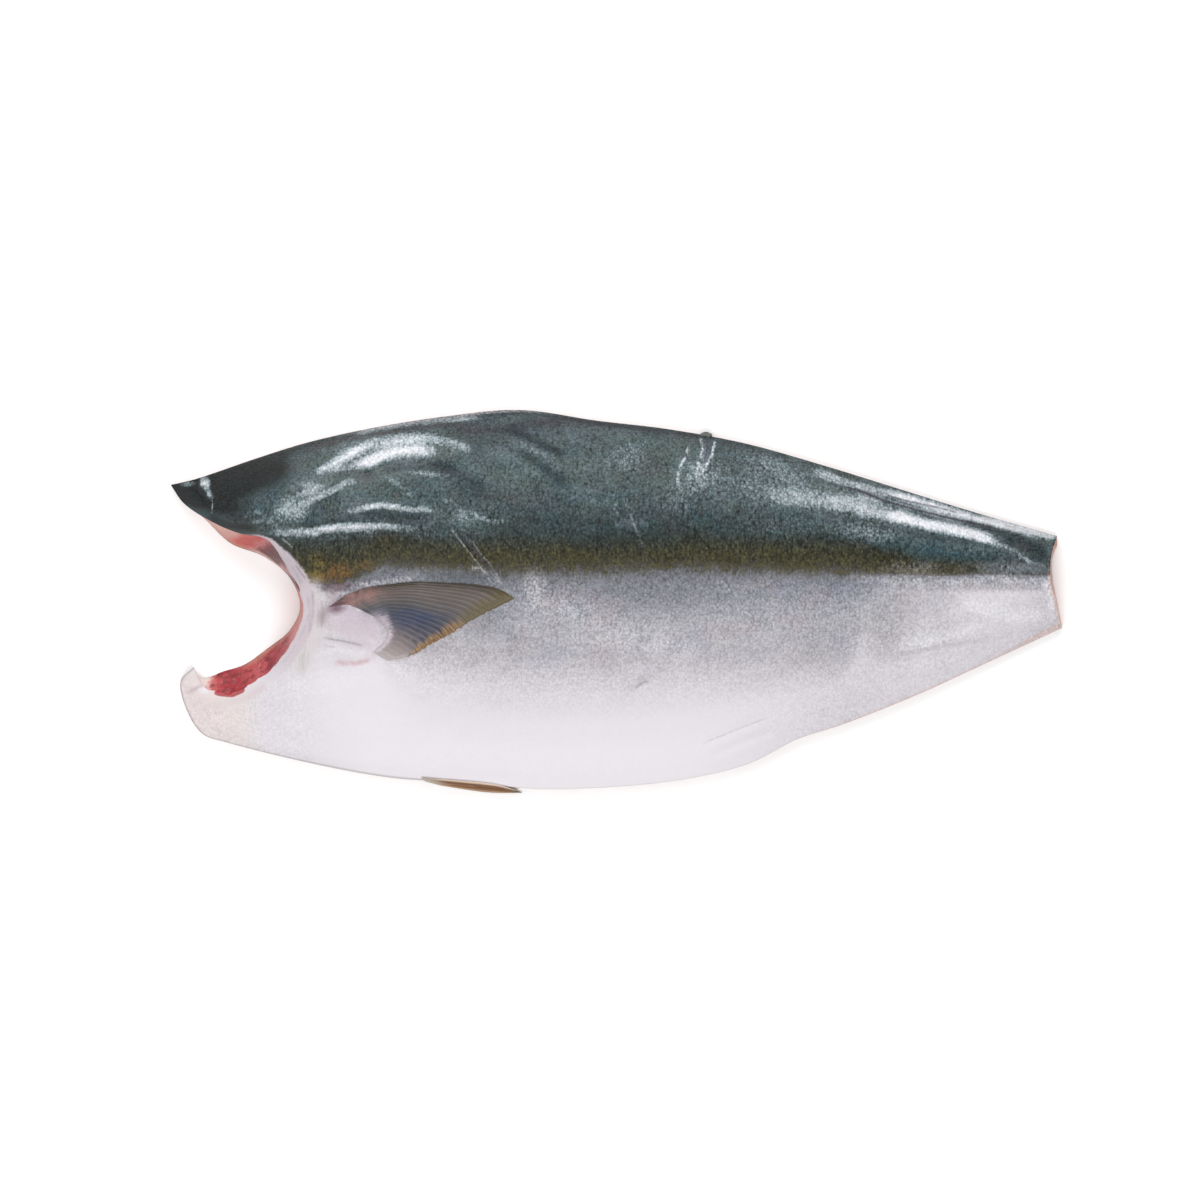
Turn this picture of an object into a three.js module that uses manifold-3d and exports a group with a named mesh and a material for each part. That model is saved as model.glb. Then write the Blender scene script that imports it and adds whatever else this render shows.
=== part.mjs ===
import * as THREE from "three";
import { mergeVertices } from "three/addons/utils/BufferGeometryUtils.js";
import Module from "manifold-3d";

// A yellowtail fillet lying skin side up, with its collar, pectoral fin and pelvic fin left on.
// Millimetres, +Z up. +X runs from the gill notch to the tail cut, +Y from the belly to the back.

// Outlines seen from above. Edges run from the head end to the tail end, cuts from belly to back.
const backEdge = [
  [-267.3, 69.9],
  [-252.6, 73.4],
  [-215.1, 86.1],
  [-186.3, 95.1],
  [-147.9, 103.8],
  [-102.9, 111.0],
  [-57.9, 114.9],
  [-12.9, 108.6],
  [32.1, 103.2],
  [77.1, 94.8],
  [122.1, 82.2],
  [212.1, 54.3],
  [264.3, 39.3],
];
const bellyEdge = [
  [-253.5, -39.3],
  [-261.3, -47.7],
  [-257.7, -65.1],
  [-248.1, -79.5],
  [-234.3, -84.3],
  [-177.9, -98.1],
  [-132.9, -105.9],
  [-87.9, -108.6],
  [-42.9, -112.5],
  [32.1, -107.9],
  [77.1, -98.1],
  [92.1, -91.2],
  [107.1, -83.1],
  [137.1, -73.2],
  [182.1, -55.2],
  [212.1, -41.4],
  [267.3, -15.9],
];
const gillFoot = [
  [-253.5, -39.3],
  [-248.7, -46.2],
  [-236.1, -42.0],
  [-223.5, -38.0],
  [-210.0, -28.6],
  [-195.9, -17.0],
  [-189.9, -3.0],
  [-195.9, 14.0],
  [-211.5, 26.9],
  [-231.6, 35.0],
  [-248.2, 50.6],
  [-260.7, 60.1],
  [-267.3, 69.9],
];
const gillRim = [
  [-253.5, -39.3],
  [-247.0, -51.5],
  [-233.1, -56.1],
  [-210.3, -44.1],
  [-195.9, -27.9],
  [-187.0, -5.0],
  [-195.9, 18.9],
  [-208.5, 37.0],
  [-225.9, 41.1],
  [-240.9, 47.1],
  [-258.9, 58.5],
  [-267.3, 69.9],
];
const tailFoot = [
  [267.3, -15.9],
  [264.3, 0.0],
  [261.6, 14.0],
  [261.6, 27.0],
  [264.3, 34.0],
  [264.3, 39.3],
];
const tailRim = [
  [267.3, -15.9],
  [263.1, 0.0],
  [259.8, 14.0],
  [260.4, 28.0],
  [264.3, 39.3],
];

// Height of the skin along its crest, against the share of the way from gill to tail.
const crestHeights = [
  [0.0, 28],
  [0.08, 32.5],
  [0.2, 38.5],
  [0.3, 40],
  [0.45, 37.5],
  [0.6, 32.5],
  [0.75, 25.5],
  [0.9, 18.5],
  [1.0, 15],
];
// Shares of the crest height, against the share of the way from belly to back.
const gillSection = [
  [0.0, 0.15],
  [0.08, 0.25],
  [0.18, 0.46],
  [0.3, 0.68],
  [0.45, 0.91],
  [0.58, 1.0],
  [0.7, 0.9],
  [0.82, 0.62],
  [0.92, 0.36],
  [1.0, 0.13],
];
const trunkSection = [
  [0.0, 0.13],
  [0.06, 0.19],
  [0.15, 0.24],
  [0.28, 0.37],
  [0.42, 0.61],
  [0.56, 0.88],
  [0.69, 1.0],
  [0.81, 0.94],
  [0.9, 0.72],
  [0.96, 0.44],
  [1.0, 0.1],
];
const tailSection = [
  [0.0, 0.2],
  [0.1, 0.44],
  [0.25, 0.74],
  [0.45, 1.0],
  [0.6, 0.99],
  [0.78, 0.83],
  [0.92, 0.5],
  [1.0, 0.2],
];
const gillBlendEnd = 0.14;
const tailBlendStart = 0.45;
const tailBlendEnd = 0.92;

// Flesh side: flat where it lies, with the hollow of the belly cavity and the line of the backbone.
const cavity = { u: 0.27, v: 0.27, halfLength: 0.25, halfWidth: 0.2, depth: 5 };
const backbone = { v: 0.55, halfWidth: 0.05, start: 0.06, depth: 2 };
const underTuck = 1.2;
const collarCurl = { x: -253.5, y: -39.3, reach: 15, lift: 3.5 };
const collarHook = { start: 4, low: 5 };

// Pectoral fin: a thin ribbed blade that lies back along the flank from a thick fleshy base.
const finBase = [
  [-144.3, -30.9],
  [-162.0, -14.0],
  [-172.5, -3.3],
];
const finLeading = [
  [-172.5, -3.3],
  [-152.7, 5.1],
  [-133.5, 9.9],
  [-114.3, 11.7],
  [-77.1, 9.9],
  [-60.9, 2.1],
];
const finTrailing = [
  [-144.3, -30.9],
  [-128.1, -32.7],
];
const finMargin = [
  [-128.1, -32.7],
  [-110.7, -24.9],
  [-75.3, -4.5],
  [-60.9, 2.1],
];
const finRays = 14;
const finEdgeRise = 0.6;
const finBladeRise = 1.5;
const finBaseRise = 4;
const finRayRelief = 0.35;
const finSink = 2;

// Pelvic fin: a small blade that shows past the belly's edge.
const pelvicRoot = [
  [-128.0, -100.5],
  [-95.0, -104.5],
  [-57.5, -108.5],
];
const pelvicMargin = [
  [-123.9, -107.0],
  [-90.3, -113.1],
  [-70.0, -114.9],
  [-56.7, -114.7],
];
const pelvicRise = 3.2;
const pelvicEdgeRise = 1.2;

// Stub left where a fin ray was trimmed at the back's edge.
const stub = { x: 53.7, y: 99.6, z: 3.4, halfLength: 4, halfWidth: 3.2, halfHeight: 2.6 };

const columns = 58;
const rows = 28;
const edgeCrowding = 0.65;

const smooth = (value, low, high) => THREE.MathUtils.smoothstep(value, low, high);

// A smooth function through [place, value] stations.
function through(stations) {
  const slope = (i) => {
    const before = stations[Math.max(i - 1, 0)];
    const after = stations[Math.min(i + 1, stations.length - 1)];
    return (after[1] - before[1]) / (after[0] - before[0]);
  };
  return (place) => {
    const last = stations.length - 2;
    const found = stations.findIndex((station) => station[0] > place) - 1;
    const i = found < 0 ? (place < stations[0][0] ? 0 : last) : found;
    const span = stations[i + 1][0] - stations[i][0];
    const t = THREE.MathUtils.clamp((place - stations[i][0]) / span, 0, 1);
    const rise = t * t * (3 - 2 * t);
    const fromStart = t * (1 - t) * (1 - t) * span * slope(i);
    const fromEnd = t * t * (t - 1) * span * slope(i + 1);
    return stations[i][1] * (1 - rise) + stations[i + 1][1] * rise + fromStart + fromEnd;
  };
}

// A smooth curve through the points of an outline, read by its share of length.
function curveThrough(outline) {
  const points = outline.map(([x, y]) => new THREE.Vector3(x, y, 0));
  return new THREE.CatmullRomCurve3(points, false, "centripetal");
}

// The surface between four outlines: u runs from start to end, and v from low to high. Where start and
// low meet in a sharp hook, the hook's shape dies out sooner, or the surface would cross its own outline.
const noHook = { start: 1, low: 1 };
function patchBetween(start, end, low, high, hook = noHook) {
  const [startCurve, endCurve, lowCurve, highCurve] = [start, end, low, high].map(curveThrough);
  const chord = (curve, share) => curve.getPointAt(0).lerp(curve.getPointAt(1), share);
  const bend = (curve, share, weight) => curve.getPointAt(share).sub(chord(curve, share)).multiplyScalar(weight);
  return (u, v) => {
    const startWeight = (1 - u) ** THREE.MathUtils.lerp(hook.start, 1, smooth(v, 0.05, 0.4));
    const lowWeight = (1 - v) ** THREE.MathUtils.lerp(hook.low, 1, smooth(u, 0, 0.2));
    return chord(startCurve, v)
      .lerp(chord(endCurve, v), u)
      .add(bend(startCurve, v, startWeight))
      .add(bend(endCurve, v, u))
      .add(bend(lowCurve, u, lowWeight))
      .add(bend(highCurve, u, v));
  };
}

// A closed body between an upper and a lower grid of points that share one outline.
function closedSheet(across, up, upperPoint, lowerPoint) {
  const positions = [];
  const faces = [];
  for (const pointAt of [upperPoint, lowerPoint]) {
    for (let j = 0; j <= up; j += 1) {
      for (let i = 0; i <= across; i += 1) {
        positions.push(...pointAt(i / across, j / up).toArray());
      }
    }
  }
  const upper = (i, j) => j * (across + 1) + i;
  const lower = (i, j) => (up + 1) * (across + 1) + upper(i, j);
  const quad = (a, b, c, d) => faces.push(a, b, c, a, c, d);
  for (let j = 0; j < up; j += 1) {
    for (let i = 0; i < across; i += 1) {
      quad(upper(i, j), upper(i + 1, j), upper(i + 1, j + 1), upper(i, j + 1));
      quad(lower(i, j), lower(i, j + 1), lower(i + 1, j + 1), lower(i + 1, j));
    }
  }
  const wall = (i, j, nextI, nextJ) => {
    quad(lower(i, j), lower(nextI, nextJ), upper(nextI, nextJ), upper(i, j));
  };
  for (let i = 0; i < across; i += 1) {
    wall(i, 0, i + 1, 0);
    wall(i + 1, up, i, up);
  }
  for (let j = 0; j < up; j += 1) {
    wall(across, j, across, j + 1);
    wall(0, j + 1, 0, j);
  }
  const geometry = new THREE.BufferGeometry();
  geometry.setAttribute("position", new THREE.Float32BufferAttribute(positions, 3));
  geometry.setIndex(faces);
  return geometry;
}

const bump = (distance) => Math.max(0, 1 - distance * distance) ** 2;
const crestAt = through(crestHeights);
const gillShareAt = through(gillSection);
const trunkShareAt = through(trunkSection);
const tailShareAt = through(tailSection);

function skinHeight(u, v) {
  const front = THREE.MathUtils.lerp(gillShareAt(v), trunkShareAt(v), smooth(u, 0, gillBlendEnd));
  const share = THREE.MathUtils.lerp(front, tailShareAt(v), smooth(u, tailBlendStart, tailBlendEnd));
  return crestAt(u) * share;
}

function fleshHeight(u, v) {
  const fromCavity = Math.hypot((u - cavity.u) / cavity.halfLength, (v - cavity.v) / cavity.halfWidth);
  const fromBone = (v - backbone.v) / backbone.halfWidth;
  const boneFade = smooth(u, 0, backbone.start) * smooth(1 - u, 0, backbone.start);
  return Math.max(cavity.depth * bump(fromCavity), backbone.depth * bump(fromBone) * boneFade);
}

function curlAt(point) {
  const away = Math.hypot(point.x - collarCurl.x, point.y - collarCurl.y);
  return collarCurl.lift * bump(away / collarCurl.reach);
}

function makeBody() {
  const skinPatch = patchBetween(gillRim, tailRim, bellyEdge, backEdge, collarHook);
  const fleshPatch = patchBetween(gillFoot, tailFoot, bellyEdge, backEdge, collarHook);
  const crowd = (t) => THREE.MathUtils.lerp(t, 0.5 - 0.5 * Math.cos(Math.PI * t), edgeCrowding);
  const skinPoint = (i, j) => {
    const [u, v] = [crowd(i), crowd(j)];
    const point = skinPatch(u, v);
    return point.setZ(skinHeight(u, v) + curlAt(point));
  };
  const fleshPoint = (i, j) => {
    const [u, v] = [crowd(i), crowd(j)];
    const point = fleshPatch(u, v);
    const tuck = underTuck * (1 - smooth(v, 0, 0.1) - smooth(v, 0.9, 1)) * smooth(u, 0, 0.03);
    return point.setY(point.y + tuck).setZ(fleshHeight(u, v) + curlAt(point));
  };
  return closedSheet(columns, rows, skinPoint, fleshPoint);
}

// Drops a point onto the skin of the body, seen straight down.
function dropOnto(bodyGeometry) {
  const target = new THREE.Mesh(bodyGeometry);
  const down = new THREE.Vector3(0, 0, -1);
  const above = 200;
  return (x, y) => {
    const ray = new THREE.Raycaster(new THREE.Vector3(x, y, above), down);
    return ray.intersectObject(target)[0].point.z;
  };
}

function makePectoralFin(skinUnder) {
  const fan = patchBetween(finBase, finMargin, finTrailing, finLeading);
  const stepsAlong = 9;
  const stepsPerRay = 3;
  const rimShare = 0.06;
  const upperPoint = (along, across) => {
    const point = fan(along, across);
    const ridge = finRayRelief * Math.cos(2 * Math.PI * finRays * across) * smooth(along, 0.1, 0.4);
    const base = (finBaseRise - finBladeRise) * (1 - smooth(along, 0.1, 0.4));
    const sides = smooth(across, 0, rimShare) * smooth(1 - across, 0, rimShare);
    const inside = sides * smooth(along, 0, rimShare);
    const rise = finEdgeRise + (finBladeRise - finEdgeRise + base + ridge) * inside;
    return point.setZ(skinUnder(point.x, point.y) + rise);
  };
  const lowerPoint = (along, across) => {
    const point = fan(along, across);
    return point.setZ(skinUnder(point.x, point.y) - finSink);
  };
  return closedSheet(stepsAlong, finRays * stepsPerRay, upperPoint, lowerPoint);
}

function makePelvicFin() {
  const start = [pelvicMargin[0], pelvicRoot[0]];
  const end = [pelvicMargin.at(-1), pelvicRoot.at(-1)];
  const patch = patchBetween(start, end, pelvicMargin, pelvicRoot);
  const upperPoint = (along, across) => {
    const rise = THREE.MathUtils.lerp(pelvicEdgeRise, pelvicRise, smooth(across, 0, 0.5));
    return patch(along, across).setZ(rise * (1 - 0.5 * smooth(along, 0.6, 1)));
  };
  const lowerPoint = (along, across) => patch(along, across);
  return closedSheet(12, 3, upperPoint, lowerPoint);
}

function makeStub() {
  const geometry = new THREE.SphereGeometry(1, 10, 7);
  geometry.scale(stub.halfLength, stub.halfWidth, stub.halfHeight);
  geometry.translate(stub.x, stub.y, stub.z);
  return geometry;
}

const wasm = await Module();
wasm.setup();

function solidFrom(geometry) {
  const bare = geometry.clone();
  bare.deleteAttribute("normal");
  bare.deleteAttribute("uv");
  const merged = mergeVertices(bare, 1e-4);
  return new wasm.Manifold(
    new wasm.Mesh({
      numProp: 3,
      vertProperties: merged.attributes.position.array,
      triVerts: new Uint32Array(merged.index.array),
    }),
  );
}

function geometryFrom(solid) {
  const mesh = solid.getMesh();
  const geometry = new THREE.BufferGeometry();
  geometry.setAttribute("position", new THREE.BufferAttribute(mesh.vertProperties, 3));
  geometry.setIndex(new THREE.BufferAttribute(mesh.triVerts, 1));
  return geometry;
}

const bodyGeometry = makeBody();
const pieces = [bodyGeometry, makePectoralFin(dropOnto(bodyGeometry)), makePelvicFin(), makeStub()];
const joined = pieces.map(solidFrom).reduce((whole, piece) => whole.add(piece));
const filletGeometry = geometryFrom(joined);

// The origin is under the middle of the whole, on the surface it lies on.
filletGeometry.computeBoundingBox();
const middle = filletGeometry.boundingBox.getCenter(new THREE.Vector3());
filletGeometry.translate(-middle.x, -middle.y, -filletGeometry.boundingBox.min.z);
filletGeometry.computeVertexNormals();

const skin = new THREE.MeshStandardMaterial({ color: 0xa9aeb4, roughness: 0.35, metalness: 0.15 });
const fillet = new THREE.Mesh(filletGeometry, skin);
fillet.name = "fillet";

const group = new THREE.Group();
group.add(fillet);

export default group;
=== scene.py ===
import math
import bpy
import bmesh
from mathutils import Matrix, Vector, noise
from mathutils.bvhtree import BVHTree


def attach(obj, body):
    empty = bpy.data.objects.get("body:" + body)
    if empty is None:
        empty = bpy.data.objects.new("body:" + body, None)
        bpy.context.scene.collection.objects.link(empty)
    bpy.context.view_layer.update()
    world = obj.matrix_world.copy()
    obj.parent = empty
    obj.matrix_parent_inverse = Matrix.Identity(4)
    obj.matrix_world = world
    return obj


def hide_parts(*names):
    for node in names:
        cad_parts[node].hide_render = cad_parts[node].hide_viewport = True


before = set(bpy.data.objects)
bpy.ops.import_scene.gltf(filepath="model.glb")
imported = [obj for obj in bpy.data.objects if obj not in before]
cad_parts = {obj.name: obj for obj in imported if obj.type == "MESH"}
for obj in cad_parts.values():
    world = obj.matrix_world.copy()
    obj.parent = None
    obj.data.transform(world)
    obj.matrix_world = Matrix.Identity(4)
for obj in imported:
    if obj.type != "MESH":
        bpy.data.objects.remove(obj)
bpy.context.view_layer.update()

mm = 0.001

# camera, looking straight down
cameraView = {"lens": 300, "height": 6.0, "aim": (-9.9, 0.9)}  # mm, m, mm

cameraData = bpy.data.cameras.new("camera")
cameraData.lens = cameraView["lens"]
camera = bpy.data.objects.new("camera", cameraData)
camera.location = (cameraView["aim"][0] * mm, cameraView["aim"][1] * mm, cameraView["height"])
bpy.context.collection.objects.link(camera)
bpy.context.scene.camera = camera
print("camera ready")


def clamp(value, low=0.0, high=1.0):
    return max(low, min(high, value))


def smooth(value, low, high):
    t = clamp((value - low) / (high - low))
    return t * t * (3 - 2 * t)


def mix(a, b, share):
    return a + (b - a) * share


def bump(distance):
    return max(0.0, 1 - distance * distance) ** 2


def rough(x, y, size, seed=0.0):  # smooth noise from about -1 to 1, with lumps of about that size
    return noise.noise(Vector((x / size, y / size, seed)))


def through(stations):  # a smooth function through (place, value) stations
    last = len(stations) - 1

    def slope(i):
        before, after = stations[max(i - 1, 0)], stations[min(i + 1, last)]
        return (after[1] - before[1]) / (after[0] - before[0])

    slopes = [slope(i) for i in range(last + 1)]

    def read(place):
        i = 0
        while i < last - 1 and stations[i + 1][0] <= place:
            i += 1
        span = stations[i + 1][0] - stations[i][0]
        t = clamp((place - stations[i][0]) / span)
        rise = t * t * (3 - 2 * t)
        bend = t * (1 - t) * (1 - t) * span * slopes[i] + t * t * (t - 1) * span * slopes[i + 1]
        return mix(stations[i][1], stations[i + 1][1], rise) + bend

    return read


def curveThrough(outline, shares):  # points of a smooth curve at those shares of its length
    points = [Vector(p) for p in outline]
    points = [points[0] * 2 - points[1]] + points + [points[-1] * 2 - points[-2]]
    walk = []
    for a, b, c, d in zip(points, points[1:], points[2:], points[3:]):
        before, here, after = ((q - p).length ** 0.5 for p, q in ((a, b), (b, c), (c, d)))
        out = ((b - a) / before - (c - a) / (before + here) + (c - b) / here) * here
        into = ((c - b) / here - (d - b) / (here + after) + (d - c) / after) * here
        for step in range(30):
            t = step / 30
            straight = (b - c) * (2 * t ** 3 - 3 * t * t) + b
            walk.append(straight + out * (t ** 3 - 2 * t * t + t) + into * (t ** 3 - t * t))
    walk.append(points[-2])
    lengths = [0.0]
    for a, b in zip(walk, walk[1:]):
        lengths.append(lengths[-1] + (b - a).length)
    found, i = [], 0
    for share in shares:
        wanted = share * lengths[-1]
        while i < len(walk) - 2 and lengths[i + 1] < wanted:
            i += 1
        step = clamp((wanted - lengths[i]) / (lengths[i + 1] - lengths[i]))
        found.append(walk[i].lerp(walk[i + 1], step))
    return found


def patchBetween(start, end, low, high, us, vs, hook=(1, 1)):  # the plane grid between four outlines, in mm
    starts, ends = curveThrough(start, vs), curveThrough(end, vs)
    lows, highs = curveThrough(low, us), curveThrough(high, us)
    grid = {}
    for i, u in enumerate(us):
        for j, v in enumerate(vs):
            startWeight = (1 - u) ** mix(hook[0], 1, smooth(v, 0.05, 0.4))
            lowWeight = (1 - v) ** mix(hook[1], 1, smooth(u, 0, 0.2))
            first, last = starts[0].lerp(starts[-1], v), ends[0].lerp(ends[-1], v)
            below, above = lows[0].lerp(lows[-1], u), highs[0].lerp(highs[-1], u)
            grid[i, j] = (first.lerp(last, u) + (starts[j] - first) * startWeight + (ends[j] - last) * u
                          + (lows[i] - below) * lowWeight + (highs[i] - above) * v)
    return grid


def evenly(count):
    return [i / count for i in range(count + 1)]


def nearLine(x, y, line):  # mm from a bent line, the share of the way along it, and the mm to its left
    best, place, left = 1e9, 0.0, 0.0
    for i, (a, b) in enumerate(zip(line, line[1:])):
        dx, dy = b[0] - a[0], b[1] - a[1]
        t = clamp(((x - a[0]) * dx + (y - a[1]) * dy) / (dx * dx + dy * dy))
        away = math.hypot(x - a[0] - dx * t, y - a[1] - dy * t)
        if away < best:
            best, place = away, (i + t) / (len(line) - 1)
            left = (dx * (y - a[1]) - dy * (x - a[0])) / math.hypot(dx, dy)
    return best, place, left


def beside(x, y, line, reach):  # whether a place is inside a line's own box, grown by its reach
    return (min(p[0] for p in line) - reach < x < max(p[0] for p in line) + reach
            and min(p[1] for p in line) - reach < y < max(p[1] for p in line) + reach)


def strokeAt(x, y, strokes):  # the sum of soft strokes, each (strength, half width, points)
    total = 0.0
    for strength, reach, line in strokes:
        if beside(x, y, line, reach):
            away, along, left = nearLine(x, y, line)
            total += strength * bump(away / reach) * smooth(along, 0, 0.2) * smooth(1 - along, 0, 0.2)
    return total


def hairlineAt(x, y, hairlines, reach=5.0):  # lines thinner than the mesh: side in half widths, and strength
    side, strength = 9.0, 0.0
    for full, halfWidth, line in hairlines:
        if beside(x, y, line, reach):
            away, along, left = nearLine(x, y, line)
            here = full * bump(away / reach) * smooth(along, 0, 0.12) * smooth(1 - along, 0, 0.12)
            if here > strength:
                side, strength = left / halfWidth, here
    return side, strength


def spotAt(x, y, spots):  # the sum of soft ovals, each (strength, middle, half sizes, turn in degrees)
    total = 0.0
    for strength, middle, size, turn in spots:
        dx, dy, angle = x - middle[0], y - middle[1], math.radians(turn)
        a = (dx * math.cos(angle) + dy * math.sin(angle)) / size[0]
        b = (dy * math.cos(angle) - dx * math.sin(angle)) / size[1]
        total += strength * bump(math.hypot(a, b))
    return total


def sheetMesh(bm, across, up, rings):  # a closed sheet, flat for now: x and y count the grid, -z the rings
    def grid(depth):
        verts = bmesh.ops.create_grid(bm, x_segments=across, y_segments=up, size=0.5)["verts"]
        bmesh.ops.scale(bm, verts=verts, vec=(across, up, 1))
        bmesh.ops.translate(bm, verts=verts, vec=(across / 2, up / 2, -depth))

    def place(verts):  # one number to sort by, because extruding leaves the wall in no fixed order
        return sum(vert.co.x + 1e3 * vert.co.y - 1e6 * vert.co.z for vert in verts)

    grid(0)
    edges = [edge for edge in bm.edges if edge.is_boundary]
    for ring in range(rings):
        grown = bmesh.ops.extrude_edge_only(bm, edges=edges)["geom"]
        verts = [part for part in grown if isinstance(part, bmesh.types.BMVert)]
        bmesh.ops.translate(bm, verts=verts, vec=(0, 0, -1))
        edges = [part for part in grown if isinstance(part, bmesh.types.BMEdge)]
    grid(rings)
    bmesh.ops.remove_doubles(bm, verts=bm.verts, dist=0.01)
    bm.verts.sort(key=lambda vert: place([vert]))
    bm.edges.sort(key=lambda edge: place(edge.verts))
    bm.faces.sort(key=lambda face: place(face.verts))
    bmesh.ops.recalc_face_normals(bm, faces=bm.faces)


def addPiece(bm, name, materials):
    for face in bm.faces:
        face.smooth = True
    mesh = bpy.data.meshes.new(name)
    bm.to_mesh(mesh)
    bm.free()
    for material in materials:
        mesh.materials.append(material)
    piece = bpy.data.objects.new(name, mesh)
    bpy.context.collection.objects.link(piece)
    return piece


def dress(piece):  # a finished piece of the fillet takes the solid's place
    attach(piece, "root")
    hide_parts("fillet")


class Paint:  # a socket of a material's node tree, with arithmetic
    def __init__(self, tree, socket=None):
        self.tree, self.socket = tree, socket

    def node(self, kind, settings=None, values=None, output=0):
        made = self.tree.nodes.new("ShaderNode" + kind)
        for name, setting in (settings or {}).items():
            if name == "stops":
                stops = made.color_ramp.elements
                while len(stops) < len(setting):
                    stops.new(0.5)
                for stop, (place, colour) in zip(stops, setting):
                    stop.position, stop.color = place, colour
            else:
                setattr(made, name, setting)
        for name, value in (values or {}).items():
            if isinstance(value, Paint):
                self.tree.links.new(value.socket, made.inputs[name])
            else:
                made.inputs[name].default_value = value
        return Paint(self.tree, made.outputs[output])

    def other(self, output):  # another output of the same node
        return Paint(self.tree, self.socket.node.outputs[output])

    def math(self, operation, a, b=0.0):
        return self.node("Math", {"operation": operation}, {0: a, 1: b})

    def __add__(self, other):
        return self.math("ADD", self, other)

    def __radd__(self, other):
        return self.math("ADD", other, self)

    def __sub__(self, other):
        return self.math("SUBTRACT", self, other)

    def __rsub__(self, other):
        return self.math("SUBTRACT", other, self)

    def __mul__(self, other):
        return self.math("MULTIPLY", self, other)

    def __rmul__(self, other):
        return self.math("MULTIPLY", other, self)

    def __abs__(self):
        return self.math("ABSOLUTE", self)

    def between(self, low, high):  # 0 at low, 1 at high, eased at both ends
        settings = {"interpolation_type": "SMOOTHSTEP"}
        return self.node("MapRange", settings, {"Value": self, "From Min": low, "From Max": high})

    def attribute(self, name):
        return self.node("Attribute", {"attribute_name": name}, output=2)

    def noise(self, place, scale, detail=2.0, roughness=0.5, output=0):
        values = {"Vector": place, "Scale": scale, "Detail": detail, "Roughness": roughness}
        return self.node("TexNoise", None, values, output)

    def ramp(self, low, high, stops):  # colours at places from low to high of a number
        stops = [((place - low) / (high - low), tone(*colour)) for place, colour in stops]
        share = self.node("MapRange", None, {"Value": self, "From Min": low, "From Max": high})
        return self.node("ValToRGB", {"stops": stops}, {"Fac": share})

    def blend(self, share, a, b, how="MIX"):
        a, b = (tone(*colour) if isinstance(colour, tuple) else colour for colour in (a, b))
        return self.node("Mix", {"data_type": "RGBA", "blend_type": how}, {0: share, 6: a, 7: b}, 2)

    def layered(self, base, look, layers):  # each (share, colour or its name) laid over what is there
        for share, colour in layers:
            base = self.blend(share, base, look[colour] if isinstance(colour, str) else colour)
        return base

    def grey(self, level):
        return self.node("CombineColor", None, {0: level, 1: level, 2: level})

    def stretched(self, place, size):
        return self.node("Mapping", None, {"Vector": place, "Scale": size})

    def relief(self, height, strength, distance):  # distance in m
        return self.node("Bump", None, {"Strength": strength, "Distance": distance, "Height": height})


# what the floor gets of the light, and the gloss that a wet face adds when it looks straight up
studioLight = {"level": 1.3, "gloss": 0.014}


def tone(red, green, blue):  # the base colour that looks like this on screen, 0 to 255, in the studio
    def linear(value):
        value /= 255
        value = value / 12.92 if value <= 0.04045 else ((value + 0.055) / 1.055) ** 2.4
        return max(value - studioLight["gloss"], 0.002) / studioLight["level"]

    return (linear(red), linear(green), linear(blue), 1.0)


def startMaterial(name):
    material = bpy.data.materials.new(name)
    material.use_nodes = True
    return material, Paint(material.node_tree), material.node_tree.nodes["Principled BSDF"]


def connect(paint, shader, links):
    for name, value in links.items():
        if isinstance(value, Paint):
            paint.tree.links.new(value.socket, shader.inputs[name])
        else:
            shader.inputs[name].default_value = value


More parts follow.
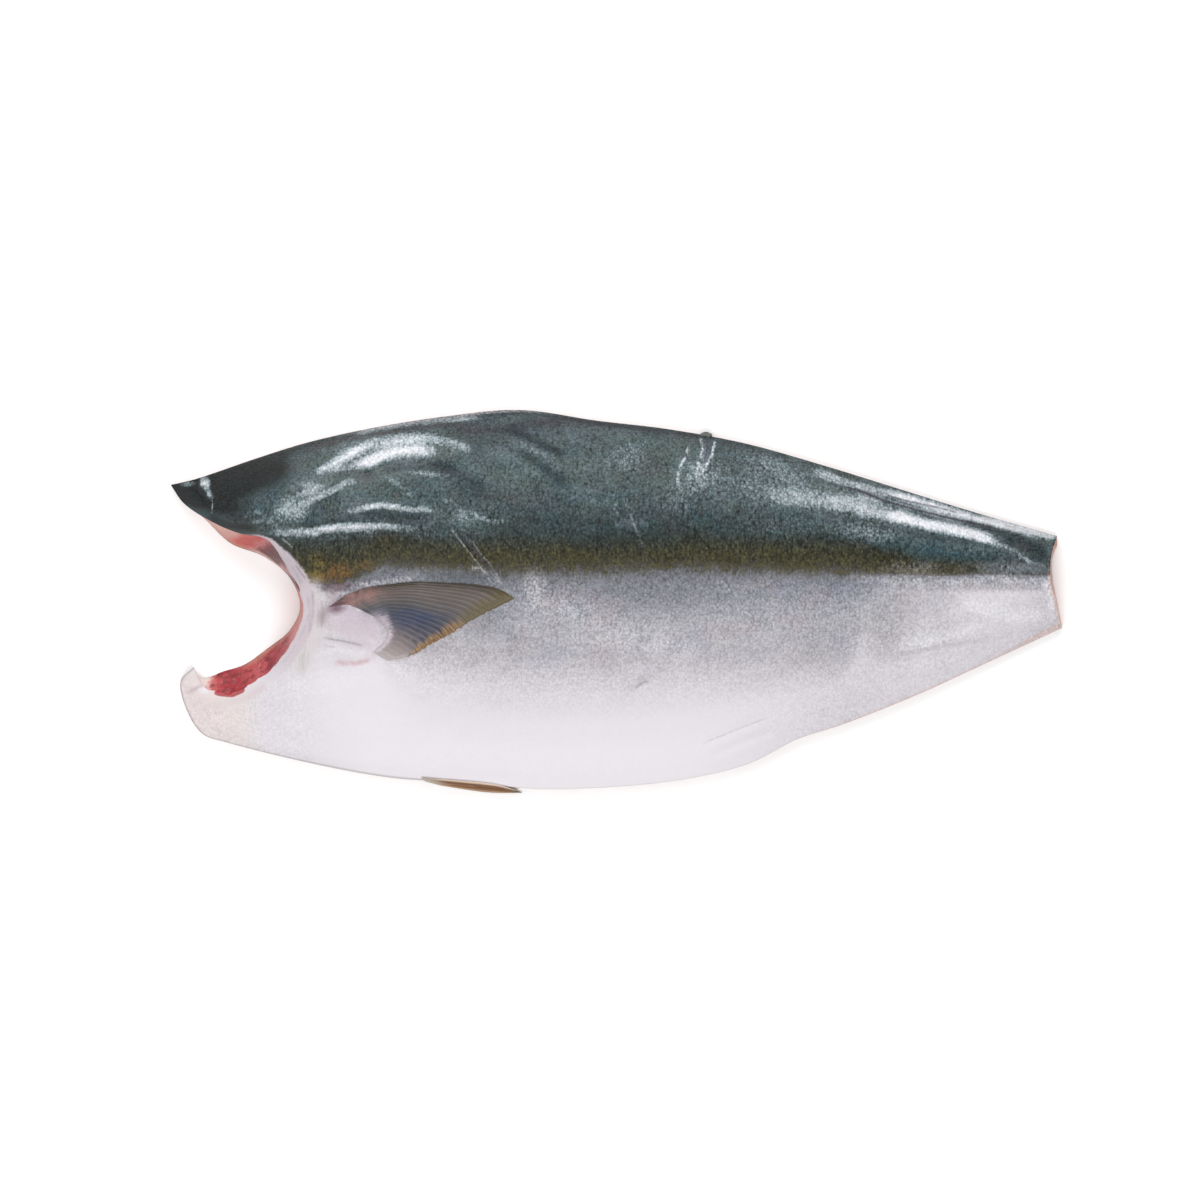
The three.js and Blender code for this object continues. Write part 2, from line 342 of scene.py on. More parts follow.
# the side of fish, in mm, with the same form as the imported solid
fillet = {
    "back": [(-267.3, 69.9), (-252.6, 73.4), (-215.1, 86.1), (-186.3, 95.1), (-147.9, 103.8), (-102.9, 111),
             (-57.9, 114.9), (-12.9, 108.6), (32.1, 103.2), (77.1, 94.8), (122.1, 82.2), (212.1, 54.3),
             (264.3, 39.3)],
    "belly": [(-253.5, -39.3), (-261.3, -47.7), (-257.7, -65.1), (-248.1, -79.5), (-234.3, -84.3),
              (-177.9, -98.1), (-132.9, -105.9), (-87.9, -108.6), (-42.9, -112.5), (32.1, -107.9),
              (77.1, -98.1), (92.1, -91.2), (107.1, -83.1), (137.1, -73.2), (182.1, -55.2), (212.1, -41.4),
              (267.3, -15.9)],
    "gillFoot": [(-253.5, -39.3), (-248.7, -46.2), (-236.1, -42), (-223.5, -38), (-210, -28.6),
                 (-195.9, -17), (-189.9, -3), (-195.9, 14), (-211.5, 26.9), (-231.6, 35), (-248.2, 50.6),
                 (-260.7, 60.1), (-267.3, 69.9)],
    "gillRim": [(-253.5, -39.3), (-247, -51.5), (-233.1, -56.1), (-210.3, -44.1), (-195.9, -27.9),
                (-187, -5), (-195.9, 18.9), (-208.5, 37), (-225.9, 41.1), (-240.9, 47.1), (-258.9, 58.5),
                (-267.3, 69.9)],
    "tailFoot": [(267.3, -15.9), (264.3, 0), (261.6, 14), (261.6, 27), (264.3, 34), (264.3, 39.3)],
    "tailRim": [(267.3, -15.9), (263.1, 0), (259.8, 14), (260.4, 28), (264.3, 39.3)],
    "crest": [(0, 28), (0.08, 32.5), (0.2, 38.5), (0.3, 40), (0.45, 37.5), (0.6, 32.5), (0.75, 25.5),
              (0.9, 18.5), (1, 15)],
    "gillSection": [(0, 0.15), (0.08, 0.25), (0.18, 0.46), (0.3, 0.68), (0.45, 0.91), (0.58, 1), (0.7, 0.9),
                    (0.82, 0.62), (0.92, 0.36), (1, 0.13)],
    "trunkSection": [(0, 0.13), (0.06, 0.19), (0.15, 0.24), (0.28, 0.37), (0.42, 0.61), (0.56, 0.88),
                     (0.69, 1), (0.81, 0.94), (0.9, 0.72), (0.96, 0.44), (1, 0.1)],
    "tailSection": [(0, 0.2), (0.1, 0.44), (0.25, 0.74), (0.45, 1), (0.6, 0.99), (0.78, 0.83), (0.92, 0.5),
                    (1, 0.2)],
    "gillBlendEnd": 0.14,
    "tailBlend": (0.45, 0.92),
    "roomForRelief": 0.975,  # the smooth skin stays this much lower, so that its folds keep within the solid
    "cavity": {"at": (0.27, 0.27), "half": (0.25, 0.2), "depth": 5},
    "backbone": {"v": 0.55, "halfWidth": 0.05, "start": 0.06, "depth": 2},
    "underTuck": 1.2,
    "curl": {"at": (-253.5, -39.3), "reach": 15, "lift": 3.5},
    "collarHook": (4, 5),  # how soon the sharp collar tip's shape dies out
    "halfWidth": 114.9,
    # torn muscle on the gill cut: its stretch and the wall in mm, how far it stands out, and one larger lump
    "torn": {"stretch": 217, "wall": 22, "out": 1.7, "up": 1.2, "lump": [(1.6, (-226.5, -40), (4, 6), 0)]},
    "uneven": [(0.3, 24, 0), (0.1, 8, 3)],  # rise in mm, size of the lumps in mm, seed
    "columns": 330,
    "rows": 130,
    "crowding": 0.5,  # how much closer the grid is at its ends
    # how far down the cut each ring of the wall stands, from the skin's edge to the surface below
    "rings": [0.035, 0.09, 0.17, 0.27, 0.38, 0.5, 0.62, 0.74, 0.87, 1],
}

# folds of the wet skin: rise in mm, half width in mm, points
skinFolds = [
    (0.8, 3.6, [(-165.2, 55.4), (-154.8, 57.2), (-143, 59.2), (-131, 56), (-116.3, 56.7), (-104, 54.6)]),
    (-0.6, 4.5, [(-166, 51.5), (-147.5, 52.5), (-126.7, 51), (-106, 50.5)]),
    (0.9, 3.6, [(-210, 43.1), (-197.4, 41.9), (-180, 43.2), (-157.9, 45.7), (-126.7, 45.4), (-108, 44)]),
    (0.8, 3.5, [(-176, 62.9), (-165.2, 70.2), (-158.9, 73.3), (-153, 69.5)]),
    (-0.6, 4, [(-182, 62), (-172, 71), (-164, 76)]),
    (1.2, 5, [(-183, 76), (-168.3, 84.7), (-148.5, 93.1), (-134, 99.5)]),
    (1.3, 7, [(-156, 80.5), (-145.4, 84.5), (-135, 91.5), (-118, 95), (-94, 93)]),
    (-0.9, 3, [(-171, 74.3), (-157.9, 83.7), (-147.5, 92), (-138.1, 98.3)]),
    (-1, 5, [(-158, 80), (-149.6, 77.5), (-136, 80.5), (-116.3, 81.6), (-101.5, 79.3)]),
    (-1.1, 5, [(-114, 82.4), (-101.5, 79.3), (-90, 75.1), (-82.8, 69.9), (-76, 63)]),
    (0.7, 4, [(-104, 86), (-90, 82), (-77, 74), (-68, 64)]),
    (-1.2, 5.5, [(-68, 104.5), (-53.7, 98.5), (-39.1, 91.3), (-27, 85)]),
    (0.8, 5, [(-66, 98), (-49.5, 90.7), (-34, 83)]),
    (-1.1, 5, [(-60, 91), (-47.4, 82.9), (-39.1, 76.7), (-27, 67.5)]),
    (0.6, 5, [(-77, 90.5), (-64, 85.6), (-52, 78), (-42, 69)]),
    (-0.5, 5, [(-108, 76), (-93.2, 66.8), (-78, 57)]),
    (0.5, 3.5, [(-148, 81), (-137.1, 73.3), (-126, 64)]),
    (0.5, 3.5, [(-130, 79.5), (-116.3, 76.4), (-104, 74.5)]),
    (0.7, 2.8, [(-100, 46), (-92.1, 34.6), (-85.9, 26.8), (-80.7, 20), (-72, 8)]),
    (-0.7, 3, [(-90, 38), (-83, 29), (-77, 19), (-72, 9)]),
    (0.5, 2.6, [(-89, 39), (-81.7, 29.4), (-75.5, 22.1), (-67, 9)]),
    (0.5, 3.5, [(-86, 53), (-76.5, 48.1), (-65, 48.5)]),
    (-0.5, 7, [(-44, 66), (-24, 58), (-4, 52)]),
    (0.6, 2.6, [(43.5, 94), (40.5, 85.5), (37.6, 79.8), (36.6, 73), (38.4, 65)]),
    (0.8, 2.6, [(51.6, 100), (52.2, 92), (50, 83), (48.5, 73)]),
    (0.7, 2.6, [(58, 98), (56.6, 88), (53.5, 81.5), (50, 75)]),
    (0.4, 3, [(5.6, 59.5), (12.9, 41.9), (20, 25)]),
    (-0.7, 3.5, [(6, -56), (14, -49), (24, -45)]),
    (0.5, 4, [(4, -50), (13, -43.5), (24, -40)]),
    (-1.3, 4, [(132, 69.5), (158.5, 62.8), (190, 51.5), (218, 45.3), (244, 39)]),
    (0.9, 6, [(102, 67), (148.1, 54.5), (190, 44.9), (219.7, 37.7), (240, 31)]),
    (0.8, 4, [(142, 71.1), (182, 59.7), (214, 50.5), (256, 39.5)]),
    (-1.3, 7, [(232, 38), (246, 31.5), (262, 24)]),
    (0.5, 3, [(239, 30), (246.9, 21.7), (259, 17.5)]),
    (-0.5, 3, [(166, -34.5), (198.1, -25.1), (222.1, -22.3), (244, -20.5)]),
    (0.8, 2.6, [(-176, -18), (-155.9, -21.6), (-142, -25)]),
    (-0.7, 2.2, [(-176, -21.5), (-158, -25), (-146, -28)]),
    (0.7, 4.5, [(-174, -27), (-160, -29.5), (-146, -31.5)]),
    (-0.8, 2.4, [(-173, -36.5), (-155.9, -37.2), (-143, -33.5)]),
    (0.9, 4, [(-137, -32), (-124.7, -47.6), (-114, -59)]),
    (-0.5, 3.5, [(-146, -38), (-136, -48), (-128, -58)]),
    (-0.6, 1.8, [(-182.9, 9), (-181.9, -4), (-182.9, -18)]),
    (0.5, 2, [(-186, 6), (-185, -6), (-186.5, -24)]),
    (-0.5, 1.8, [(-176.5, 2), (-175.5, -7), (-176.6, -17)]),
    (0.7, 2.6, [(-167, 2.5), (-160, 3.8), (-154, 4.6)]),
    (-0.6, 3, [(-180, 7), (-168, 7), (-156, 8.6)]),
    (-0.5, 4, [(54, -94), (76, -84), (98, -76)]),
    (-0.4, 4, [(48, -86), (70, -77), (92, -68)]),
    (0.8, 3.2, [(-256, -53), (-249, -50), (-241, -54)]),
    (0.8, 3.5, [(-256, 72), (-249, 66), (-243, 58)]),
    (-0.5, 5, [(-60, 0), (-62, -20), (-57, -42)]),
    (0.4, 8, [(-220, -60), (-190, -48), (-165, -45)]),
    (-0.4, 10, [(-100, -62), (-40, -70), (40, -66), (120, -46)]),
]
finLobe = [(1, (-157, -14), (26, 17), -28)]  # the fleshy root that the fin grows out of
lobeRise = 2.6

# colour marks on the skin: strokes are (strength, half width in mm, points), and spots are
# (strength, middle, half sizes, turn in degrees)
marks = {
    "pale": {  # painted highlights where the wet back shines
        "strokes": [
            # two long folds above the fin
            (0.6, 2.8, [(-171, 54.9), (-157, 53.8), (-147.5, 56.7), (-139.8, 57.3), (-132.5, 56.6),
                        (-124.7, 54.9), (-112, 54.7), (-101, 53.6)]),
            (0.25, 2.4, [(-154, 55), (-145, 57.2), (-137, 57), (-130, 55.6)]),
            (0.55, 3.6, [(-216, 42), (-197, 40.8), (-181, 42), (-166.5, 44.4), (-152, 44.6), (-136, 44.6),
                         (-112, 44.2)]),
            (0.4, 3.2, [(-182, 42), (-168, 44.2), (-152, 44.8), (-136, 44.6)]),
            (0.14, 6, [(-204, 39.4), (-170, 39.6), (-130, 40), (-84, 39.6)]),
            # the folds behind the nape
            (0.75, 4.4, [(-182, 75), (-174.3, 79.5), (-165.9, 83.7), (-157.5, 89.1), (-147.9, 93.9),
                         (-139, 98.6)]),
            (0.5, 3.6, [(-173, 76.4), (-163, 80), (-154, 82.6), (-147, 84.5), (-140, 89)]),
            (0.62, 7.6, [(-160, 79), (-150, 84), (-144, 87), (-137, 91.5), (-129, 93.6), (-118, 93.6),
                         (-104, 92.4)]),
            (0.7, 5, [(-154, 80), (-147, 83), (-139, 87), (-128, 89), (-117, 89.4), (-101, 89.4)]),
            (0.4, 4.6, [(-144, 93), (-137, 97), (-126, 98.6), (-112, 98.4), (-100, 97)]),
            (0.34, 4, [(-112, 96), (-100, 95.4), (-91, 93), (-87, 88)]),
            (0.3, 2.6, [(-194, 63), (-182, 66), (-172, 71.4)]),
            (0.5, 3.2, [(-192, 56), (-182, 60.6), (-168, 67), (-160, 71.6), (-153, 70)]),
            (0.16, 3.2, [(-226, 50), (-216, 53.5), (-202, 47)]),
            (0.2, 2.4, [(-222, 47), (-210, 47.8), (-199, 43)]),
            (0.24, 3, [(-140, 76), (-130, 70), (-120, 61)]),
            (0.3, 3, [(-130, 79.4), (-118, 76.6), (-105, 75.4), (-96, 75)]),
            (0.6, 3, [(-160, 99.6), (-148, 103), (-126.7, 106.8), (-98.4, 109.6), (-74, 110.8)]),
            (0.16, 4, [(-66, 98.5), (-49.5, 90.7), (-32, 82.5)]),
            (0.12, 5, [(-80, 91.5), (-64, 85.6), (-50, 78)]),
            (0.2, 3, [(-106, 63), (-95, 56.5), (-88, 48)]),
            (0.24, 2.8, [(-89, 53.8), (-76.5, 48.3), (-62, 48.3)]),
            (0.2, 2.6, [(-7, 79), (-1.4, 62), (1.8, 48)]),
            (0.12, 2.6, [(3, 66), (8.7, 53.3), (15, 36)]),
            (0.22, 2.4, [(15.5, 34), (20, 27), (24.5, 20.5)]),
            (0.16, 3, [(53, 98), (53, 89), (49, 75)]),
            # the long painted highlight along the tail
            (0.08, 20, [(-10, 74), (40, 70), (80, 68), (130, 60)]),
            (0.16, 16, [(60, 70), (98, 67), (128, 63), (156, 58)]),
            (0.26, 8.6, [(84, 64), (106, 62), (126, 60), (148, 57.5), (168, 52.5)]),
            (0.36, 5, [(140, 54), (150, 52.6), (158, 51), (172, 47.8)]),
            (0.26, 6.4, [(118, 60.5), (134, 59), (150, 57), (166, 51.6), (182, 47)]),
            (1.2, 5.4, [(158, 55), (166, 51.8), (173.7, 49.6), (188.1, 45.6), (197.1, 44.2), (206.1, 42.4),
                        (215.1, 40.2), (222, 37.8), (230, 34.6)]),
            (0.4, 3, [(210, 41), (222.3, 36.8), (232, 33.4), (242, 30.4)]),
            (0.45, 4, [(158, 62), (172, 58), (186, 54.4), (200, 50.6), (214, 46.6)]),
            (0.5, 3.4, [(112, 78.4), (139.5, 71), (161.1, 65.8), (182, 60)]),
            (0.95, 4, [(156, 67.4), (179.1, 61), (197.1, 55.6), (215.1, 49.8), (233.1, 44.4), (270, 36)]),
            (0.8, 3.4, [(214, 52), (236, 46.2), (252, 42), (276, 37)]),
            (0.4, 2.4, [(238, 30), (244, 26), (250, 21), (262, 19)]),
        ],
        "spots": [
            (0.44, (-194, 55), (17, 13), 0),
            (0.34, (-182, 66.4), (10, 8), 0),
            (0.16, (-184, 70), (8, 8), 0),
            (0.32, (-160, 90), (15, 8), 25),
            (0.25, (-96, 91), (10, 7), 0),
            (0.12, (-64, 73), (12, 11), 0),
            (0.2, (-92, 50), (16, 9), 0),
            (0.1, (-84, 40), (20, 11), 0),
            (0.16, (10, 93.9), (22, 8), 0),
            (0.2, (4, 84), (24, 12), 0),
            (0.24, (50, 76), (24, 18), 0),
            (0.14, (36, 58), (18, 14), 0),
            (0.24, (92, 82), (34, 10), -16),
            (0.4, (126, 77), (13, 4), -18),
            (0.5, (153, 63.4), (14, 6), -16),
            (0.3, (191, 52.4), (12, 4), -16),
            (0.13, (100, 44), (50, 13), 0),
            (0.28, (150, 41), (30, 10), -6),
            (1, (-246.8, 71.4), (4.4, 6.6), 20),
            (0.5, (-243.6, 64), (3, 4), 20),
            (0.4, (-257, 70.6), (7, 2.4), 10),
            (0.4, (250, 20), (14, 6), 0),
            (0.5, (259, 38.5), (4, 2), -20),
        ],
    },
    "soot": {  # the dark nape
        "strokes": [
            (1, 15, [(-290, 56), (-262, 66), (-240, 71), (-222, 76), (-206, 81), (-188, 88)]),
            (0.5, 9, [(-262, 62), (-246, 58), (-228, 54), (-214, 46)]),
            (0.5, 5, [(-206, 86), (-186, 92), (-168, 99)]),
            (0.7, 3.6, [(-248, 52), (-234, 45.6), (-222, 43.6), (-212, 42)]),
        ],
        "spots": [(0.7, (-238, 62), (28, 17), 0), (0.66, (-214, 72), (28, 17), 18),
                  (0.5, (-262, 66), (16, 10), 30)],
    },
    "white": {  # paler silver skin on the side and belly, with painted highlights on the ridges of its folds
        "strokes": [
            (0.3, 3, [(-138, -33), (-124.7, -47.6), (-114, -60)]),
            (0.5, 2.6, [(-178, -18.6), (-163, -20.4), (-149, -23.4), (-139, -26)]),
            (0.35, 5, [(-180, -29), (-160, -30), (-140, -33)]),
            (0.5, 1.6, [(-168, -1.6), (-160, -1.4), (-150, -6.4), (-139.5, -13)]),
            (0.5, 2.4, [(-170, 4.4), (-161, 5), (-152, 5.6)]),
            (0.5, 1.8, [(-158, 8.3), (-148, 10.4), (-132, 13), (-118, 13.6)]),
            (0.7, 8, [(200, 0), (222, -5), (240, -8), (266, -9)]),
            (0.3, 5, [(130, 15), (160, 13), (200, 12.6), (230, 13.4), (280, 12.6)]),
            (0.4, 8, [(160, -24), (186, -24), (206, -20), (222, -14)]),
            (0.4, 7, [(160, -40), (184, -38), (206, -32)]),
            (0.4, 2.6, [(-90, 22), (-78, 18), (-66, 10)]),
            (0.6, 5, [(256, 14), (260, 4), (263, -14)]),
            (0.25, 4, [(196, -38), (212, -34), (236, -24)]),
            (0.3, 3, [(58, 12), (64, 10), (68, 4)]),
        ],
        "spots": [
            (0.36, (0, -20), (46, 18), 0),
            (0.45, (-49, 7), (13, 20), 0),
            (0.22, (200, -15), (56, 10), 0),
            (0.34, (-30, -4), (26, 14), 0),
            (0.22, (178, 20), (36, 8), 0),
            (0.14, (230, 20), (34, 8), 0),
            (0.2, (30, -30), (30, 10), 0),
            (0.14, (40, -26), (26, 16), 0),
            (0.4, (-190, -52), (14, 8), 30),
            (0.5, (-172, -48), (40, 14), 12),
            (0.9, (-247.5, -53), (6, 3.4), -8),
            (0.3, (146, -26), (24, 12), 0),
            (0.3, (182, -24), (26, 10), 10),
        ],
    },
    "dark": {  # dark skin, and painted shade in the grooves of the folds
        "strokes": [
            (0.22, 1.4, [(-160, 82.8), (-150, 88), (-144, 93.6)]),
            (0.4, 3.6, [(-172, 72), (-162, 76), (-152, 77.4), (-142.3, 73.3)]),
            (0.7, 4.2, [(-142, 76.4), (-130, 79.6), (-117, 80), (-106, 81.6), (-92, 78)]),
            (0.35, 4.6, [(-166, 50.8), (-147.5, 51.6), (-126.7, 50.6), (-100, 50.4)]),
            (0.3, 4, [(-205, 76), (-204, 66), (-208, 56)]),
            (0.25, 3, [(-175, 60), (-161, 66)]),
            (0.7, 4.6, [(-68, 104.5), (-53.7, 98.5), (-39.1, 91.3), (-27, 85.5)]),
            (0.6, 4.4, [(-60, 91), (-47.4, 82.9), (-39.1, 76.7), (-27, 67.5)]),
            (0.55, 5, [(-113, 82), (-101.5, 77.3), (-90, 72.1), (-82.8, 67.9), (-76, 60.5)]),
            (0.2, 3.4, [(-107, 75.5), (-93.2, 66.8), (-78, 57)]),
            (0.4, 1.4, [(122, 72), (134.1, 69), (145.8, 66.3), (161.1, 60), (174.6, 56.4)]),
            (0.55, 3, [(170, 42.6), (180, 39.6), (192, 37.4), (205, 36.4), (218, 33.4)]),
            (0.7, 3, [(218, 45), (232, 41.4), (248, 36)]),
            (0.5, 9, [(-36, 37), (0, 37), (44, 36)]),
            (0.3, 6, [(-92, 82), (-80, 87), (-66, 88)]),
            (0.25, 7, [(-90, 88), (-72, 98), (-50, 106)]),
        ],
        "spots": [
            (1.3, (240.5, 36.4), (19, 7), -24),
            (1.2, (252.5, 29.6), (9, 10), 0),
            (0.5, (-90, 13), (42, 8), 0),
            (0.25, (-128, 24), (20, 6), 0),
            (0.3, (-142, 15), (26, 6), 10),
            (0.4, (-175, 4), (10, 10), 0),
            (0.3, (-163, -4), (8, 7), 0),
            (0.34, (-76, -12), (20, 14), 20),
            (0.7, (246, 16.6), (4, 2.4), 0),
            (0.4, (-150, 76), (9, 5), 0),
            (0.4, (-142, 70), (10, 6), 0),
            (0.2, (26, 4), (66, 15), 0),
            (0.12, (26, -6), (50, 14), 0),
            (0.7, (262.5, 34.5), (3, 3), 0),
        ],
    },
    "sea": {  # teal skin
        "strokes": [(0.4, 9, [(112, 42), (158, 36), (194, 30), (232, 26)]),
                    (0.5, 5, [(-48, 82.9), (-39.1, 76.7), (-30, 70)])],
        "spots": [(0.5, (-210, 66), (24, 16), 0), (0.3, (-160, 64), (20, 10), 0),
                  (0.3, (-116, 64), (34, 14), 0), (0.3, (-64, 84), (20, 14), 0)],
    },
    "umber": {  # the brown margin by the back fin
        "strokes": [
            (0.8, 3.4, [(-200, 86), (-181, 92.4), (-157.9, 98), (-140, 101.6), (-120, 105), (-100, 106.6),
                        (-80, 106.8)]),
            (0.7, 5, [(-104, 104), (-84, 102.6), (-65.1, 104), (-50, 107), (-26, 106)]),
            (0.5, 4, [(-60, 111), (-20, 107), (30, 100.5), (56, 97)]),
            (0.4, 3.4, [(60, 95), (90, 87.6), (120, 79)]),
        ],
        "spots": [(0.6, (135.9, 69), (4, 2.2), 0)],
    },
    "blush": {  # thin skin where blood shows through
        "strokes": [
            (0.5, 2.2, [(-171, -37), (-155.9, -37.2), (-144, -33.8)]),
            (0.4, 3.4, [(-236, -61), (-222, -58), (-207, -48)]),
            (0.7, 2.2, [(-259.5, -55.5), (-252, -52), (-246, -49)]),
            (0.5, 2.6, [(-151, -29.5), (-147, -31.5), (-143, -31)]),
            (0.5, 2.4, [(-170, -35.5), (-158, -37), (-146, -35)]),
        ],
        "spots": [
            (0.8, (-239.6, -67), (3, 2.6), 0),
            (0.35, (-238, -62), (9, 5), 0),
            (0.4, (-250, -60), (12, 18), 30),
            (0.3, (-240, -76), (20, 9), -25),
        ],
    },
    # a mauve blotch by the fin's root, with painted shadow along the fin's leading edge
    "mauve": {
        "strokes": [(0.6, 3.4, [(-178, 8.6), (-168, 8.6), (-156, 10.2)])],
        "spots": [(1, (-167.5, -4), (9, 5), 8), (0.5, (-176, -9), (6, 9), 0), (0.5, (-165, 4), (12, 6), 0)],
    },
    "raw": {  # red muscle that shows past the skin's edge
        "strokes": [(1, 2.4, [(-207, 28.6), (-201.6, 23.4), (-196.4, 16.6), (-191.4, 9), (-188.4, 3)]),
                    (1, 3.2, [(-243, -53.4), (-237, -55), (-230, -55.6), (-220, -51.6)])],
    },
    "bare": {  # pale scaleless skin between the gill cut and the fin
        "strokes": [(1, 11, [(-184, 24), (-183, 2), (-184, -24), (-196, -48)])],
        "spots": [(1, (-178, -12), (16, 20), 0), (0.7, (-172, 3), (14, 6), 0)],
    },
    "gold": {
        "spots": [(1, (-179, 14.5), (6, 10), 90), (0.9, (-165.5, 17.5), (13, 8), 8),
                  (0.4, (-150, 21), (9, 6), 0), (0.4, (-178, 24), (8, 8), 0)],
    },
    "wet": {
        "spots": [(1, (-150, 78), (70, 45), 18), (1, (-196, 52), (40, 30), 0),
                  (0.9, (190, 50), (110, 30), -17), (0.4, (-170, -60), (90, 45), 0),
                  (0.5, (200, 0), (90, 40), 0)],
    },
}
# lines thinner than the mesh: strength, half width in mm, points; neighbours run in opposite directions
hairs = {
    "hair": [
        (1, 1.2, [(44, 95), (40.8, 85.5), (37.6, 79.8), (36.4, 73.5), (38.6, 65)]),
        (1, 1.1, [(47.5, 71), (48.8, 82), (51.6, 90.5), (50.2, 99)]),
        (1, 1.2, [(59.4, 98.5), (57.4, 88.5), (53.6, 81), (49.6, 73.5)]),
        (0.25, 1, [(3.6, 62), (11, 44.5), (16, 31.5)]),
        (0.4, 0.7, [(-101, 46.5), (-92.1, 34.6), (-85.9, 26.8), (-80.7, 20), (-72, 7.6)]),
        (0.28, 0.8, [(-66.5, 8), (-75.5, 22.1), (-81.7, 29.4), (-89.5, 39.5)]),
        (0.5, 0.5, [(-242.2, 61.5), (-242, 57), (-242.4, 51.5)]),
        (0.35, 0.9, [(-206, 42.6), (-199, 37), (-192, 31)]),
        (0.4, 0.8, [(-258.3, -54.9), (-252, -51.6), (-246, -49)]),
    ],
    "slit": [
        (1, 1.1, [(54.9, 98), (54.6, 91), (52.2, 82)]),
        (1, 0.9, [(128, 70.8), (145.8, 66.3), (161.1, 60), (174.6, 56.4), (188.1, 52.8), (202.5, 49.2),
                  (219.6, 45.6), (232, 42)]),
        (0.8, 0.8, [(206, 52.6), (194, 56), (176, 59.8), (160, 64)]),
        (0.7, 0.8, [(182, 51.4), (190, 50), (200, 47.4), (210, 45.6)]),
        (0.5, 1.8, [(-90, 38), (-85, 31), (-79.7, 23.5), (-72, 10)]),
        (0.4, 0.8, [(-192, 22), (-188.5, 17), (-185, 12.4)]),
        (0.35, 0.9, [(-177, -21.4), (-163, -23.8), (-151, -26.4)]),
        (0.2, 0.8, [(-176, -27.6), (-172, -26.6), (-168, -28)]),
        (0.25, 1.1, [(-181.5, 7), (-181.3, -6), (-183.9, -20)]),
        (0.2, 1, [(-176.5, 2), (-175.5, -7), (-176.6, -17)]),
        (0.3, 0.8, [(10, -53), (14.5, -49.5), (20, -46.5)]),
        (0.2, 0.8, [(50, -86), (70, -77.5), (92, -69)]),
        (0.12, 1.8, [(160, -34), (182, -29), (206, -25.4), (226, -23)]),
        (0.4, 0.9, [(-203, 36), (-196, 30), (-190, 24)]),
    ],
}

# the olive band along the side, as (mm along, mm): its lower edge, its height, and how soon the skin
# below it turns pale
bandFoot = [(-270, 9), (-184, 10.6), (-170, 11.4), (-157, 13.6), (-148, 18.5), (-138, 23.2), (-125, 22.6),
            (-94, 20), (-40, 18.4), (-4, 19.2), (40, 20.8), (64, 20.2), (110, 19.8), (140, 18.6),
            (160, 16.8), (194, 16), (225, 16.6), (270, 15.6)]
bandHeight = [(-270, 20), (-184, 21), (-160, 19), (-130, 14), (-100, 13.5), (-20, 17), (60, 15), (140, 14),
              (158, 12), (176, 8.5), (212, 6.5), (270, 5)]
paling = [(-270, 2.7), (-200, 2.5), (-160, 2.1), (-135, 1.25), (-100, 1.05), (0, 1), (110, 1.02),
          (134, 1.05), (146, 1.4), (158, 2.6), (170, 4.2), (200, 6), (270, 6)]
# deeper down they change by a second slope, from a place of its own
deepSlope = [(-270, 0.5), (134, 0.6), (146, 0.9), (158, 0.95), (170, 0.55), (182, 0.35), (206, 0.2),
             (220, 0), (270, 0)]
deepStart = [(-270, 60), (128, 60), (140, 36), (148, 22), (158, 16), (170, 38), (182, 53), (194, 56),
             (206, 64), (218, 72), (242, 72), (254, 66), (270, 62)]
# how deep the belly's colours go at most, in mm of the colour ramp across the fish
palest = [(-270, 75), (-190, 80), (-140, 110), (40, 110), (90, 86), (124, 72), (160, 72), (200, 78),
          (270, 90)]
midHeight = 14
readFoot, readHeight = through(bandFoot), through(bandHeight)
readPaling, readDeepSlope, readDeepStart, readPalest = (
    through(stations) for stations in (paling, deepSlope, deepStart, palest))
readCrest = through(fillet["crest"])
readGill, readTrunk, readTail = (through(fillet[name + "Section"]) for name in ("gill", "trunk", "tail"))


def crowded(count):
    return [mix(t, 0.5 - 0.5 * math.cos(math.pi * t), fillet["crowding"]) for t in evenly(count)]


def skinHeight(u, v):
    front = mix(readGill(v), readTrunk(v), smooth(u, 0, fillet["gillBlendEnd"]))
    return readCrest(u) * mix(front, readTail(v), smooth(u, *fillet["tailBlend"]))


def fleshHeight(u, v):
    cavity, bone = fillet["cavity"], fillet["backbone"]
    aside = [(place - middle) / half for place, middle, half in zip((u, v), cavity["at"], cavity["half"])]
    fade = smooth(u, 0, bone["start"]) * smooth(1 - u, 0, bone["start"])
    return max(cavity["depth"] * bump(math.hypot(*aside)),
               bone["depth"] * bump((v - bone["v"]) / bone["halfWidth"]) * fade)


def curlAt(x, y):
    curl = fillet["curl"]
    return curl["lift"] * bump(math.hypot(x - curl["at"][0], y - curl["at"][1]) / curl["reach"])


crumple = {  # the crumpled skin behind the nape, in mm
    "zones": [(1, (-120, 76), (95, 44), 12), (0.5, (-30, 80), (60, 30), -20)],
    "lie": (0.88, 0.47),  # the way that the ridges run
    "ridge": (46, 11),
    "fine": (20, 6),
    "rise": (0.5, 0.2),
}


def wrinkles(x, y):
    cos, sin = crumple["lie"]
    along, across = x * cos + y * sin, y * cos - x * sin
    broad, fine = (noise.noise(Vector((along / size[0], across / size[1], seed)))
                   for size, seed in ((crumple["ridge"], 0.3), (crumple["fine"], 4)))
    ridge = 1 - 2.4 * math.hypot(broad, 0.12)
    return spotAt(x, y, crumple["zones"]) * (crumple["rise"][0] * ridge + crumple["rise"][1] * fine)


def bandAt(x, y):  # mm above the band's lower edge, stretched where the colours change sooner
    above = y - readFoot(x)
    if above > 0:
        return above * midHeight / readHeight(x)
    return max(above * readPaling(x), above * readDeepSlope(x) - readDeepStart(x), -readPalest(x))


